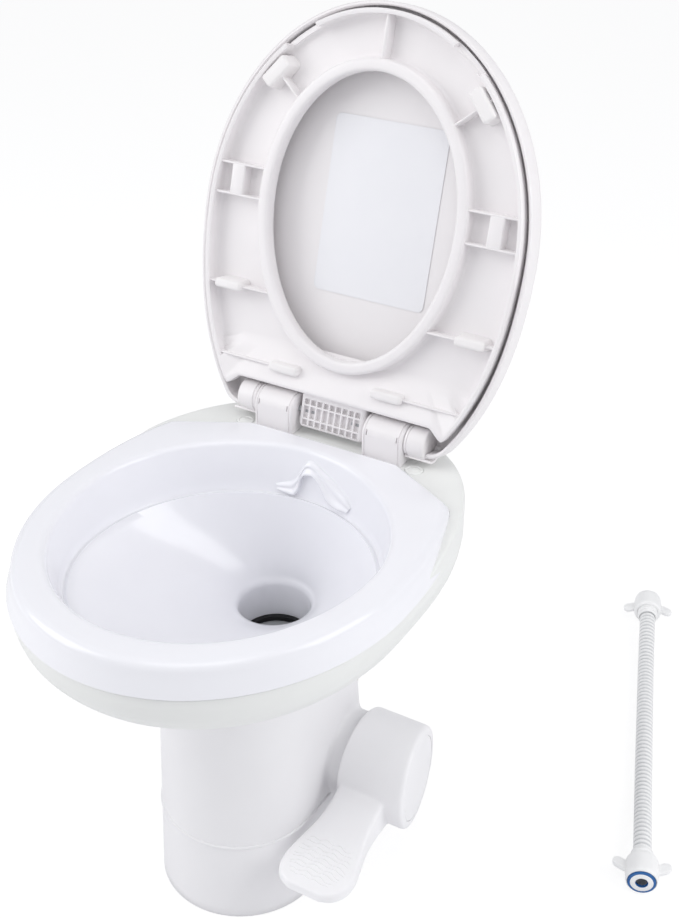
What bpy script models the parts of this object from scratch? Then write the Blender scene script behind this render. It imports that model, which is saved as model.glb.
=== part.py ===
"""A pedal-flush toilet for caravans: bowl, shell, pedestal, seat, lid, foot pedal, valve works and hose.

Metres, +Z up, +X to the pedal's side, the user sits facing -Y. The origin is on the floor under the middle
of the toilet.
"""

import math
from collections import namedtuple

import bmesh
import bpy
from mathutils import Matrix, Vector

Plan = namedtuple("Plan", "half front rear front_power rear_power")

# Fits
GAP = 0.0003  # between pieces that touch
RUN = 0.0003  # between a pin and the bore that turns on it
OVERRUN = 0.002  # how far a cutter reaches past the face it cuts

# Rings of points
RING_SIDES = 32
ROUND_SIDES = 20
SMALL_SIDES = 12
SEAL_SIDES = 30
BLADE_SIDES = 20
BOSS_SIDES = 22
DRUM_SIDES = 30

# Bowl: places along Y are behind the middle of the rim
BOWL_Y = -0.0549
RIM_Z = 0.4193
RIM = Plan(0.180, 0.2047, 0.2464, 2.0, 2.32)
RIM_HOLE = Plan(0.1502, 0.1707, 0.1484, 2.0, 1.9)
RIM_EDGE = 0.0015  # least rounding at the edge of the hole
RIM_ROUND = 0.006
RIM_SHOULDER = 0.010
SHOULDER_SHARE = 0.8
RIM_FLARE = 0.006
RIM_SKIRT = 0.030
RIM_THICK = 0.006
RIM_SIDE_CUT = (0.157, 0.1326)  # the rim's rear is cut along a line from here
RIM_REAR_CUT = (0.083, 0.1726)  # to here, and then straight across
BOWL_WALL = 0.004
STEP_PLAN = Plan(0.1448, 0.1428, 0.1538, 2.0, 2.0)
STEP_BACK = -0.0117
STEP_DROP = 0.0495
STEP_LEDGE = 0.006
STEP_FALL = 0.0012
WALL_BULGE_SHARE = 0.35
WALL_MID_SHARE = 0.5
THROAT_R = 0.0356
THROAT_BACK = 0.0752
THROAT_DROP = 0.137
THROAT_ROUND = 0.004
THROAT_FOOT_Z = 0.2428
FUNNEL_SHARES = ((0.3, 0.35), (0.6, 0.62), (0.85, 0.84))  # of the way in, of the drop

# Body shell and its deck
SHELL = Plan(0.186, 0.2107, 0.250, 2.0, 2.6)
SHELL_INSET = 0.0025
SHELL_WALL = 0.004
SHELL_DISH_SHARES = ((0.02, 0.11), (0.12, 0.34), (0.34, 0.58), (0.62, 0.80))  # of the way in, of the drop
SHELL_INNER_SHARES = (0.34, 0.58)  # the drops at which its hidden inner face has rings
DECK_TOP_Z = 0.4128
DECK_FOOT_Z = 0.3840
DECK_GAP = 0.0004
DECK_ROUND = 0.003
DECK_TIP = 0.02  # radians from where the deck would run out to a point
DECK_SIDE_STEPS = 4
DECK_REAR_STEPS = 7
DECK_SEARCHES = 30
PLUG_X = 0.0975
PLUG_BACK = 0.178
PLUG_R = 0.0090
PLUG_THICK = 0.0032
PLUG_DEEP = 0.0024

# Pedestal and base
PEDESTAL_R = 0.0847  # half the width at the floor
PEDESTAL_DRAFT = math.radians(2.5)
PEDESTAL_NOSE = 0.0045  # middle of the front's half round
PEDESTAL_REAR = 0.1596
PEDESTAL_CORNER = 0.060
PEDESTAL_MIDDLE = 0.050
PEDESTAL_TOP_Z = 0.2997
PEDESTAL_WALL = 0.004
SPLIT_Z = 0.094
SPLIT_BEVEL = 0.0012
LIP_HIGH = 0.012
LIP_SLOPE_FOOT = 0.0276  # below the split, where the thicker wall of the lip runs out
LIP_WALL = 0.0025
FLOOR_PLATE = 0.008
SEAL_HOLE_R = 0.0565

# Screws at the split, and closet bolts
SCREW_R = 0.002
SCREW_HEAD_R = 0.0042
SCREW_HEAD = 0.0022
SCREW_LONG = 0.011
BOLT_X = 0.070
BOLT_R = 0.0035
BOLT_TOP_Z = 0.034
BOLT_HEAD_R = 0.0085
BOLT_HEAD = 0.0032
NUT_R = 0.0072
NUT_HIGH = 0.0065
FLANGE_HIGH = 0.0016

# Hinge
HINGE_BACK = 0.1927
HINGE_Z = 0.4362
OPEN_ANGLE = math.radians(106.2)
HINGE_PIN_R = 0.004
PIN_IN_X = 0.021
PIN_OUT_X = 0.1045
POST_IN_X = 0.040
POST_OUT_X = 0.084
POST_R = 0.016
POST_FRONT = 0.0175
POST_REAR = 0.0098
POST_EDGE = 0.0015
POST_STEPS = 8
POST_WAIST_SHARE = 0.72
POST_SLOT = (0.0014, 0.0062, 0.0012)  # a small slot high on the front face: wide, tall, deep
STUD_R = 0.0045
STUD_LONG = 0.024
HINGE_NUT_R = 0.011
HINGE_NUT_HIGH = 0.007

# Seat, closed: forward of the hinge, and up from the hinge's axis
SEAT = Plan(0.168, 0.207, 0.240, 2.0, 2.2)
SEAT_FORWARD = 0.183
SEAT_REAR = 0.0195
HOLE = Plan(0.1001, 0.1307, 0.1439, 2.0, 2.0)
HOLE_LEAD = 0.0207  # ahead of the seat's middle, like the leads below
HOLE_FORWARD = SEAT_FORWARD + HOLE_LEAD
SEAT_FOOT = -0.014
SEAT_TOP = 0.0060
SEAT_CROWN = 0.0008
SEAT_EDGE = 0.010
SEAT_SHOULDER = 0.0028
SEAT_SKIN = 0.004
SEAT_WALL = 0.0045
HOLE_WALL = 0.012
KNUCKLE_HALF = 0.036
KNUCKLE_DEEP = 0.0078
KNUCKLE_BACK = 0.0165
CELL_COLUMNS = 9
CELL_ROWS = 3
CELL_DEEP = 0.0028
CELL_WALL = 0.0016
CELL_MARGIN = 0.0022
CELL_SHORT_SHARE = 0.55  # the two outer rows against the middle one
RIB_THICK = 0.0022
RIB_OUT = 0.1642
BOX_RIB_LEADS = (0.044, 0.014)
BOX_RIBS_FORWARD = (SEAT_FORWARD + BOX_RIB_LEADS[0], SEAT_FORWARD + BOX_RIB_LEADS[1])
POINTED_RIB_LEADS = (0.158, 0.2032)
POINTED_RIB = (SEAT_FORWARD + POINTED_RIB_LEADS[0], SEAT_FORWARD + POINTED_RIB_LEADS[1])
FRONT_PAD_LEAD = 0.1368
SIDE_PAD_LEAD = -0.075
REAR_PAD_INSET = 0.0185  # from the seat's rear edge
BUMPER_FOOT = -0.0165
# Each bumper: name, across, forward, length, width, turn, its rib's start and end, whether that crosses it
BUMPERS = (
    ("front", 0.1081, SEAT_FORWARD + FRONT_PAD_LEAD, 0.033, 0.015, math.radians(-50), -0.0089, 0.0375, True),
    ("side", 0.134, SEAT_FORWARD + SIDE_PAD_LEAD, 0.031, 0.010, math.radians(0), -0.0505, 0.0242, False),
    ("rear", 0.058, SEAT_REAR + REAR_PAD_INSET, 0.034, 0.010, math.radians(0), -0.0060, 0.0780, False),
)
BUMPER_CORNER = 0.003
BUMPER_LEAN = 0.0045  # of the front pads' outer side, clear of the fillet inside the seat's skirt
RIB_FOOT = -0.0115
PAD_INSET = (0.132, 0.147)  # a plain block between the two box ribs
NOTCH_LEAD = 0.175
NOTCH = (0.088, SEAT_FORWARD + NOTCH_LEAD)  # of the seat's skirt, across and forward
NOTCH_LONG = 0.037
NOTCH_DEEP = 0.009
NOTCH_TURN = math.radians(-36)
NOTCH_TOP = -0.004

# Lid, closed
LID = Plan(0.1756, 0.2141, 0.2493, 2.0, 2.32)
LID_LAG = 0.0002  # its middle lies this far behind the seat's
LID_FORWARD = SEAT_FORWARD - LID_LAG
LID_REAR = -0.012
LID_FOOT = -0.008
LID_INNER = 0.0175
LID_TOP = 0.0210
LID_CROWN = 0.0015
LID_WALL = 0.004
LID_EDGE = 0.006
LID_KNUCKLE = (0.0845, 0.1065)
LID_KNUCKLE_R = 0.0155
LABEL_WIDE = 0.122
LABEL_LONG = 0.172
LABEL_THICK = 0.0004
LABEL_FORWARD = 0.205
LABEL_ASIDE = 0.0075
LABEL_CORNER = 0.006

# Pedal: a drum on a boss of the pedestal, with an arm and a tread
HUB_BACK = 0.0851
HUB_Z = 0.1186
HUB_IN_X = 0.095
HUB_R = 0.0525
HUB_OUT_X = 0.1605
HUB_SLANT = 0.169  # how much further out its outer face lies for each unit forward
HUB_ROUND = 0.005
HUB_WALL = 0.0035
HUB_FACE = 0.0036
HUB_LIP = 0.003
COVER_R = 0.043
COVER_DEEP = 0.003
SLEEVE_WALL = 0.0032
SLEEVE_IN_X = 0.113
HEAD_WELL = 0.0075
BOSS_R = 0.044
BOSS_OUT_X = 0.0985
BOSS_WALL = 0.004
BOSS_IN_X = 0.060
PIVOT_R = 0.004
PIVOT_HEAD_R = 0.0088
PIVOT_HEAD = 0.003
PIVOT_NUT_R = 0.0075
PIVOT_NUT = 0.0055
ARM_STATIONS = (  # forward of the hub, middle across, half width, top, foot
    (0.020, 0.1180, 0.0190, 0.1400, 0.0900),
    (0.046, 0.1180, 0.0195, 0.1290, 0.0855),
    (0.066, 0.1185, 0.0205, 0.1160, 0.0830),
    (0.086, 0.1190, 0.0245, 0.1055, 0.0800),
    (0.104, 0.1195, 0.0315, 0.0985, 0.0765),
    (0.122, 0.1205, 0.0370, 0.0945, 0.0760),
    (0.138, 0.1205, 0.0370, 0.0925, 0.0770),
    (0.150, 0.1200, 0.0310, 0.0905, 0.0775),
    (0.157, 0.1200, 0.0190, 0.0885, 0.0785),
)
ARM_EDGE = 0.0032
CROWN_SHARE = 0.15
TREAD_RIBS = 7
TREAD_FROM = 0.106
TREAD_PITCH = 0.0067
TREAD_WIDE = 0.0022
TREAD_HALF = 0.026
TREAD_PROUD = 0.0007
TREAD_TAPER_SHARE = 0.25

# Valve: a domed blade under the throat, turned by a pinion in the drum's ring gear
MODULE = 0.0015
PINION_TEETH = 18
RING_TEETH = 44
SECTOR_TEETH = (-5, 1)
ADDENDUM = 0.0012
DEDENDUM = 0.0017
TOOTH_TIP_SHARE = 0.11  # half the tip's width against the pitch
TOOTH_ROOT_SHARE = 0.29
GEAR_IN_X = 0.0995
GEAR_THICK = 0.008
SECTOR_BACK = 0.0480
SHAFT_R = 0.005
SHAFT_HUB_X = 0.0370
SEAL_THICK = 0.0047
SEAL_IN_R = 0.031
BLADE_R = 0.037  # of the dome's rim, seen from above
BLADE_THICK = 0.003
BLADE_ARM = 0.003
BLADE_HUB_R = 0.010
ARM_TOP_SHARE = 0.45
ARM_FOOT_SHARE = 0.9
HOUSING_HALF = 0.0447
HOUSING_WALL = 0.003
HOUSING_RUN = 0.0009
HOUSING_BEHIND = math.radians(24)
HOUSING_AHEAD = math.radians(84)
OUTLET_R = 0.0443
OUTLET_FLANGE_R = 0.060
OUTLET_FLANGE = 0.004
BUSH_WALL = 0.0028
BUSH_FLANGE = 0.0022
BUSH_FLANGE_HIGH = 0.0015
CAM_R = 0.0125
CAM_LIFT = 0.0032  # for each radian
CAM_RISE = math.radians(80)
CAM_FALL = math.radians(190)
CAM_IN_X = 0.0535
CAM_THICK = 0.006

# Water works
PLUNGER_R = 0.003
PLUNGER_TIP_R = 0.0007
PLUNGER_TIP = 0.004
PLUNGER_SLACK = 0.0006
PLUNGER_SHARES = (0.7, 0.45)  # of the water valve's length: its bore, and how far the plunger reaches in
WATER_VALVE_R = 0.0098
WATER_VALVE_BACK = 0.0994
WATER_VALVE_LONG = 0.022
TUBE_R = 0.0045
TUBE_WALL = 0.001
BREAKER_R = 0.013
BREAKER_BACK = 0.2034
BREAKER_Z = (0.356, 0.399)
NOZZLE_Z = 0.3775
FLUSH_SHARES = (  # of the water valve's place across, of the way back and up to the vacuum breaker
    (1.0, 0.0, 0.0), (1.0, 0.0, 0.045), (0.96, 0.024, 0.232), (0.92, 0.048, 0.488), (0.76, 0.126, 0.628),
    (0.5, 0.242, 0.755), (0.22, 0.69, 0.868), (0.03, 0.955, 0.916), (0.0, 1.0, 0.969), (0.0, 1.0, 1.0),
)
NOZZLE_SHARES = (  # of the way down, of the half width, of how far it stands out
    (0.0, 0.10, 0.35), (0.35, 0.17, 0.8), (0.6, 0.27, 1.0),
    (0.8, 0.48, 1.0), (0.92, 0.8, 0.8), (1.0, 1.0, 0.5),
)
NOZZLE_STEPS = 14
NOZZLE_POWER = 0.8
NOZZLE_HALF = 0.041
NOZZLE_DROPS = (0.009, 0.0460)
NOZZLE_PROUD = 0.010
BITE = 0.002  # how far its edges reach into the wall before they are trimmed to it
INLET_X = 0.028
INLET_R = 0.0142  # of the threaded spigot, which the hose's nut fits
INLET_LONG = 0.013
INLET_COLLAR_R = 0.0165
INLET_COLLAR = 0.003
INLET_PIPE_R = 0.005
INLET_BEND = 0.010
INLET_SHARES = (  # of the way across to the spigot, and back along in bends
    (0.0, 0.25), (0.15, 0.75), (0.5, 1.0), (0.85, 1.25), (1.0, 2.0),
)
MOUTH_SHARES = (0.7, 0.8)  # of the spigot's radius and length
WAY_SHARE = 0.6

# Return spring
SPRING_R = 0.0093
SPRING_WIRE_R = 0.001
SPRING_TURNS = 3
SPRING_PITCH = 0.0056
SPRING_X = 0.1145
TURN_POINTS = 8

# Supply hose, lying loose on the floor: the middle of its run, across and behind the middle of the rim
HOSE_ROUTE = (
    (0.3790, 0.1616), (0.3752, 0.1727), (0.3700, 0.1879), (0.3640, 0.2054), (0.3560, 0.2289),
    (0.3465, 0.2569), (0.3365, 0.2864), (0.3260, 0.3171), (0.3150, 0.3491), (0.3040, 0.3812),
    (0.2930, 0.4133), (0.2820, 0.4454), (0.2715, 0.4761), (0.2615, 0.5054), (0.2520, 0.5331),
    (0.2430, 0.5594), (0.2360, 0.5799), (0.2300, 0.5974), (0.2248, 0.6126), (0.2210, 0.6237),
)
HOSE_R = 0.0097
HOSE_GROOVE_R = 0.0081
HOSE_BORE_R = 0.0062
HOSE_RIBS = 36
RIB_SHARES = (0.3, 0.7)
BORE_POINTS = 20
HOSE_NUT_R = 0.0170
HOSE_NUT_LONG = 0.028
HOSE_NUT_WALL = 0.002
HOSE_TAIL_R = 0.0128
HOSE_TAIL_LONG = 0.011
HOSE_TAIL_OVER = 0.0065
HOSE_TAIL_STEP = 0.001
WASHER_R = 0.0150
WASHER_THICK = 0.003
WASHER_STEP = 0.0015
FITTING_SIDES = 12
WING_SPAN = 0.0305
WING_THICK = 0.0055
WING_LONG = 0.0168
WING_START = 0.0116
WING_SWEEP = 0.012
WING_ROUND = (0.0048, 0.006)  # its round end, across and along

# Worked out from the sizes above
DRAFT = math.tan(PEDESTAL_DRAFT)
THROAT_Y = BOWL_Y + THROAT_BACK
HINGE_Y = BOWL_Y + HINGE_BACK
PLUG_Y = BOWL_Y + PLUG_BACK
HINGE = (HINGE_Y, HINGE_Z)
HUB_Y = BOWL_Y + HUB_BACK
WATER_VALVE_Y = BOWL_Y + WATER_VALVE_BACK
BREAKER_Y = BOWL_Y + BREAKER_BACK
PINION_R = MODULE * PINION_TEETH / 2
RING_R = MODULE * RING_TEETH / 2
CENTRES = RING_R - PINION_R
GEAR_RATIO = RING_TEETH / PINION_TEETH
SHAFT_Y = THROAT_Y
SHAFT_Z = HUB_Z + math.sqrt(CENTRES**2 - (SHAFT_Y - HUB_Y) ** 2)
CONTACT_ANGLE = math.atan2(SHAFT_Z - HUB_Z, SHAFT_Y - HUB_Y)
SEAL_TOP_Z = THROAT_FOOT_Z - GAP
SEAL_FOOT_Z = SEAL_TOP_Z - SEAL_THICK
DOME_R = math.hypot(SEAL_IN_R, SEAL_FOOT_Z - SHAFT_Z) - GAP
HOUSING_R = DOME_R + HOUSING_RUN
SLEEVE_R = PIVOT_R + RUN
BUSH_R = SHAFT_R + RUN + BUSH_WALL
HUB = (HUB_Y, HUB_Z)
SHAFT = (SHAFT_Y, SHAFT_Z)
THROAT = (0.0, THROAT_Y)
RIM_FOOT_Z = RIM_Z - RIM_SKIRT
SHELL_TOP_Z = RIM_FOOT_Z - GAP
STEP_Z = RIM_Z - STEP_DROP
WATER_X = CAM_IN_X + CAM_THICK / 2
THROAT_Z = RIM_Z - THROAT_DROP
PAD_TOP = SEAT_TOP - SEAT_SKIN - GAP

MATERIALS = {  # colour, roughness, metallic
    "bowl_white": ((0.90, 0.90, 0.92), 0.18, 0.0),
    "shell_white": ((0.80, 0.81, 0.80), 0.35, 0.0),
    "pedestal_white": ((0.86, 0.86, 0.88), 0.25, 0.0),
    "seat_white": ((0.86, 0.85, 0.85), 0.38, 0.0),
    "pad_white": ((0.80, 0.79, 0.77), 0.6, 0.0),
    "pedal_white": ((0.84, 0.84, 0.86), 0.35, 0.0),
    "label_white": ((0.93, 0.93, 0.94), 0.3, 0.0),
    "blade_grey": ((0.62, 0.63, 0.64), 0.35, 0.0),
    "works_black": ((0.05, 0.05, 0.055), 0.5, 0.0),
    "nylon": ((0.72, 0.71, 0.66), 0.45, 0.0),
    "rubber_black": ((0.02, 0.02, 0.02), 0.7, 0.0),
    "steel": ((0.56, 0.57, 0.58), 0.3, 1.0),
    "hose_white": ((0.84, 0.85, 0.86), 0.35, 0.0),
    "rubber_blue": ((0.03, 0.10, 0.30), 0.5, 0.0),
}


# Scene helpers


def clear_scene():
    for thing in list(bpy.data.objects):
        bpy.data.objects.remove(thing, do_unlink=True)


def collection(name):
    made = bpy.data.collections.new(name)
    bpy.context.scene.collection.children.link(made)
    return made


def material(name):
    """The Principled material of this name, made on first use."""
    found = bpy.data.materials.get(name)
    if found:
        return found
    colour, roughness, metallic = MATERIALS[name]
    made = bpy.data.materials.new(name)
    made.use_nodes = True
    shader = made.node_tree.nodes["Principled BSDF"]
    shader.inputs["Base Color"].default_value = (*colour, 1.0)
    shader.inputs["Roughness"].default_value = roughness
    shader.inputs["Metallic"].default_value = metallic
    made.diffuse_color = (*colour, 1.0)
    return made


def link(name, mesh, finish=None):
    """A new object: a part where it has a finish, and otherwise a cutter or a lump to be joined."""
    made = bpy.data.objects.new(name, mesh)
    if finish:
        TOILET.objects.link(made)
        mesh.materials.append(material(finish))
    else:
        CUTTERS.objects.link(made)
        made.hide_render = True
        made.display_type = "WIRE"
    return made


def smooth(mesh):
    mesh.shade_smooth()
    mesh.set_sharp_from_angle(angle=math.radians(35))


def from_bmesh(name, shape, finish=None, matrix=None):
    bmesh.ops.recalc_face_normals(shape, faces=shape.faces)
    if matrix is not None:
        bmesh.ops.transform(shape, matrix=matrix, verts=shape.verts)
    mesh = bpy.data.meshes.new(name)
    shape.to_mesh(mesh)
    shape.free()
    smooth(mesh)
    return link(name, mesh, finish)


def boolean(piece, operation, others):
    for other in others:
        step = piece.modifiers.new(other.name, "BOOLEAN")
        step.operation = operation
        step.object = other
    return piece


def cut(piece, *cutters):
    return boolean(piece, "DIFFERENCE", cutters)


def join(piece, *lumps):
    return boolean(piece, "UNION", lumps)


def keep(piece, *masks):
    return boolean(piece, "INTERSECT", masks)


def baked(name, piece, finish=None):
    """The evaluated shape of a piece as a plain mesh in world space, which replaces it."""
    bpy.context.view_layer.update()
    graph = bpy.context.evaluated_depsgraph_get()
    mesh = bpy.data.meshes.new_from_object(piece.evaluated_get(graph))
    shape = bmesh.new()
    shape.from_mesh(mesh)
    bmesh.ops.remove_doubles(shape, verts=shape.verts, dist=1e-6)
    bpy.data.meshes.remove(mesh)
    matrix = piece.matrix_world.copy()
    bpy.data.objects.remove(piece, do_unlink=True)
    return from_bmesh(name, shape, finish, matrix)


def round_edges(piece, width, segments=2, angle=50):
    step = piece.modifiers.new("rounding", "BEVEL")
    step.width = width
    step.segments = segments
    step.angle_limit = math.radians(angle)
    return piece


def hang(parent, *pieces):
    """Parents pieces, and whatever cuts or joins them, to an empty."""
    for piece in pieces:
        if piece is not None and piece.parent is None:
            piece.parent = parent
            hang(parent, *(step.object for step in piece.modifiers if step.type == "BOOLEAN"))


def axis_empty(name, place, turn=(0.0, 0.0, 0.0)):
    made = bpy.data.objects.new(name, None)
    TOILET.objects.link(made)
    made.location = place
    made.rotation_euler = turn
    return made


# Shapes


def along(axis):
    """Turns +Z to the given direction."""
    return Vector(axis).to_track_quat("Z", "Y").to_matrix().to_4x4()


def rod(name, radius, start, end, finish=None, sides=SMALL_SIDES, end_radius=None):
    """A cylinder or cone from one point to another."""
    start, end = Vector(start), Vector(end)
    shape = bmesh.new()
    bmesh.ops.create_cone(
        shape, cap_ends=True, segments=sides, depth=(end - start).length,
        radius1=radius, radius2=radius if end_radius is None else end_radius,
    )
    matrix = Matrix.Translation((start + end) / 2) @ along(end - start)
    return from_bmesh(name, shape, finish, matrix)


def upright(name, radius, place, low, high, finish=None, sides=SMALL_SIDES):
    """A rod that stands at a place in plan."""
    return rod(name, radius, (*place, low), (*place, high), finish, sides)


def lying(name, radius, place, low, high, finish=None, sides=SMALL_SIDES):
    """A rod along X, at a place in Y and Z."""
    return rod(name, radius, (low, *place), (high, *place), finish, sides)


def box(name, low, high):
    low, high = Vector(low), Vector(high)
    shape = bmesh.new()
    bmesh.ops.create_cube(shape, size=1)
    bmesh.ops.scale(shape, vec=high - low, verts=shape.verts)
    return from_bmesh(name, shape, matrix=Matrix.Translation((low + high) / 2))


def loft(name, rings, finish=None, capped=False, matrix=None):
    """Rings of points with faces between them: closed round like a tyre, or capped at its two ends."""
    shape = bmesh.new()
    rows = [[shape.verts.new(point) for point in ring] for ring in rings]
    pairs = list(zip(rows, rows[1:]))
    if capped:
        shape.faces.new(rows[0])
        shape.faces.new(rows[-1])
    else:
        pairs.append((rows[-1], rows[0]))
    for lower, upper in pairs:
        for k in range(len(lower)):
            shape.faces.new((lower[k - 1], lower[k], upper[k], upper[k - 1]))
    return from_bmesh(name, shape, finish, matrix)


def slab(name, outline, low, high, finish=None, matrix=None):
    """A flat outline of x and y, raised from low to high."""
    rings = [[(x, y, z) for x, y in outline] for z in (low, high)]
    return loft(name, rings, finish, capped=True, matrix=matrix)


def turned(name, profile, place, axis, finish=None, sides=ROUND_SIDES):
    """A closed profile of (radius, height) turned about an axis through a place."""
    area = sum(a[0] * b[1] - b[0] * a[1] for a, b in zip(profile, profile[1:] + profile[:1]))
    points = profile if area < 0 else profile[::-1]
    on_axis = [k for k, point in enumerate(points) if point[0] == 0 and points[k - 1][0] == 0]
    if on_axis:
        points = points[on_axis[0]:] + points[: on_axis[0]]
    mesh = bpy.data.meshes.new(name)
    edges = [(k, k + 1) for k in range(len(points) - 1)]
    if not on_axis:
        edges.append((len(points) - 1, 0))
    mesh.from_pydata([(radius, 0.0, height) for radius, height in points], edges, [])
    made = link(name, mesh)
    made.matrix_world = Matrix.Translation(place) @ along(axis)
    screw = made.modifiers.new("turning", "SCREW")
    screw.steps = sides
    screw.render_steps = sides
    screw.use_merge_vertices = True
    screw.merge_threshold = 1e-6
    return baked(name, made, finish)


def tube(name, points, radius, finish=None, resolution=2, radii=None):
    """A round tube through points, with filled ends."""
    curve = bpy.data.curves.new(name, "CURVE")
    curve.dimensions = "3D"
    curve.bevel_depth = radius
    curve.bevel_resolution = resolution
    curve.use_fill_caps = True
    line = curve.splines.new("POLY")
    line.points.add(len(points) - 1)
    for k, point in enumerate(points):
        line.points[k].co = (*point, 1.0)
        line.points[k].radius = radii[k] if radii else 1.0
    return baked(name, link(name, curve), finish)


def rounded_rectangle(wide, long, corner, steps=4):
    points = []
    for quarter in range(4):
        across = (wide / 2 - corner) * (1 if quarter in (0, 3) else -1)
        up = (long / 2 - corner) * (1 if quarter in (0, 1) else -1)
        for k in range(steps + 1):
            angle = math.pi / 2 * (quarter + k / steps)
            points.append((across + corner * math.cos(angle), up + corner * math.sin(angle)))
    return points


def smooth_route(points, spacing):
    """Points at an even spacing along a smooth curve through the given ones."""
    points = [Vector(point) for point in points]
    ends = [2 * points[0] - points[1], *points, 2 * points[-1] - points[-2]]
    fine = []
    steps = 16
    for a, b, c, d in zip(ends, ends[1:], ends[2:], ends[3:]):
        for k in range(steps):
            t = k / steps
            square, cube = 2 * a - 5 * b + 4 * c - d, 3 * b - a - 3 * c + d
            fine.append((2 * b + (c - a) * t + square * t**2 + cube * t**3) / 2)
    fine.append(points[-1])
    lengths = [0.0]
    for a, b in zip(fine, fine[1:]):
        lengths.append(lengths[-1] + (b - a).length)
    count = max(2, round(lengths[-1] / spacing))
    even = []
    k = 0
    for step in range(count + 1):
        reach = lengths[-1] * step / count
        while k < len(lengths) - 2 and lengths[k + 1] < reach:
            k += 1
        share = (reach - lengths[k]) / (lengths[k + 1] - lengths[k])
        even.append(fine[k].lerp(fine[k + 1], share))
    return even


# Outlines, as a distance from their middle at each angle (0 is +X, a right angle is the rear)


def ring_angles(*corners):
    """Angles once round from the front, alike on both sides, that pass through the corners."""
    stops = [-math.pi / 2, 0.0, *sorted(corners), math.pi / 2]
    right = []
    for first, last in zip(stops, stops[1:]):
        steps = max(1, round((last - first) * RING_SIDES / (2 * math.pi)))
        right += [first + (last - first) * k / steps for k in range(steps)]
    return right + [math.pi / 2] + [math.pi - angle for angle in reversed(right[1:])]


def egg(angle, plan, outset=0.0):
    rear = math.sin(angle) > 0
    power = plan.rear_power if rear else plan.front_power
    length = (plan.rear if rear else plan.front) + outset
    across = abs(math.cos(angle)) / (plan.half + outset)
    ahead = abs(math.sin(angle)) / length
    return (across**power + ahead**power) ** (-1 / power)


def rim_cut(angle, outset=0.0):
    """How far the straight cuts at the rim's rear let an outline reach."""
    if math.sin(angle) <= 0:
        return math.inf
    side, rear = RIM_SIDE_CUT, RIM_REAR_CUT
    slope = Vector((rear[1] - side[1], side[0] - rear[0])).normalized()
    facing = abs(math.cos(angle)) * slope.x + math.sin(angle) * slope.y
    return min((rear[1] + outset) / math.sin(angle), (slope.dot(side) + outset) / facing)


def rim_outline(angle, outset, cut_inset=None):
    inset = min(outset, 0.0) if cut_inset is None else cut_inset
    return min(egg(angle, RIM, outset), rim_cut(angle, inset))


def pedestal_outline(angle, z, outset=0.0):
    """The pedestal's plan at a height: half round in front, with rounded rear corners."""
    half = PEDESTAL_R - DRAFT * z + outset
    rear = PEDESTAL_REAR - DRAFT * z + outset - PEDESTAL_MIDDLE
    corner = PEDESTAL_CORNER + outset
    nose = PEDESTAL_NOSE - PEDESTAL_MIDDLE
    aim = Vector((abs(math.cos(angle)), math.sin(angle)))
    if aim.x > 1e-9:
        side = half / aim.x
        if nose <= side * aim.y <= rear - corner:
            return side
        if side * aim.y < nose:
            return round_reach(aim, Vector((0.0, nose)), half)
    elif aim.y < 0:
        return round_reach(aim, Vector((0.0, nose)), half)
    back = rear / aim.y
    if back * aim.x <= half - corner:
        return back
    return round_reach(aim, Vector((half - corner, rear - corner)), corner)


def round_reach(aim, middle, radius):
    near = aim.dot(middle)
    return near + math.sqrt(radius**2 - middle.length_squared + near**2)


def ring(angles, reach, back, z):
    """A level ring of points round a middle that lies behind the middle of the rim."""
    middle = BOWL_Y + back
    return [(reach(angle) * math.cos(angle), middle + reach(angle) * math.sin(angle), z) for angle in angles]


def blend(first, second, share):
    return [tuple(a + (b - a) * share for a, b in zip(p, q)) for p, q in zip(first, second)]


def level_at(points, z):
    return [(x, y, z) for x, y, _ in points]


RIM_ANGLES = ring_angles(*(math.atan2(back, across) for across, back in (RIM_SIDE_CUT, RIM_REAR_CUT)))


def hole_ring(outset, z):
    return ring(RIM_ANGLES, lambda angle: egg(angle, RIM_HOLE, outset), 0.0, z)


def rim_ring(outset, z, cut_inset=None):
    return ring(RIM_ANGLES, lambda angle: rim_outline(angle, outset, cut_inset), 0.0, z)


def step_ring(outset, z):
    return ring(RIM_ANGLES, lambda angle: egg(angle, STEP_PLAN, outset), STEP_BACK, z)


def throat_ring(radius, z):
    return ring(RIM_ANGLES, lambda angle: radius, THROAT_BACK, z)


def pedestal_ring(z, outset=0.0, at=None):
    level = z if at is None else at
    return ring(RIM_ANGLES, lambda angle: pedestal_outline(angle, z, outset), PEDESTAL_MIDDLE, level)


# Bowl and body


def bowl_inside(outset=0.0):
    """The rings of the bowl's inner surface, from the edge of the rim's hole down to the throat's edge."""
    edge = hole_ring(outset, RIM_Z - RIM_ROUND)
    crease = step_ring(outset, STEP_Z)
    middle = blend(edge, crease, WALL_BULGE_SHARE)
    level = RIM_Z - RIM_ROUND - (STEP_DROP - RIM_ROUND) * WALL_MID_SHARE
    middle = level_at(middle, level)
    ledge = step_ring(outset - STEP_LEDGE, STEP_Z - STEP_FALL)
    throat = throat_ring(THROAT_R + outset + THROAT_ROUND, THROAT_Z + THROAT_ROUND)
    fall = STEP_Z - STEP_FALL - THROAT_Z - THROAT_ROUND
    funnel = []
    for inward, down in FUNNEL_SHARES:
        level = STEP_Z - STEP_FALL - fall * down
        funnel.append(level_at(blend(ledge, throat, inward), level))
    return [edge, middle, crease, ledge, *funnel, throat, throat_ring(THROAT_R + outset, THROAT_Z)]


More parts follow.
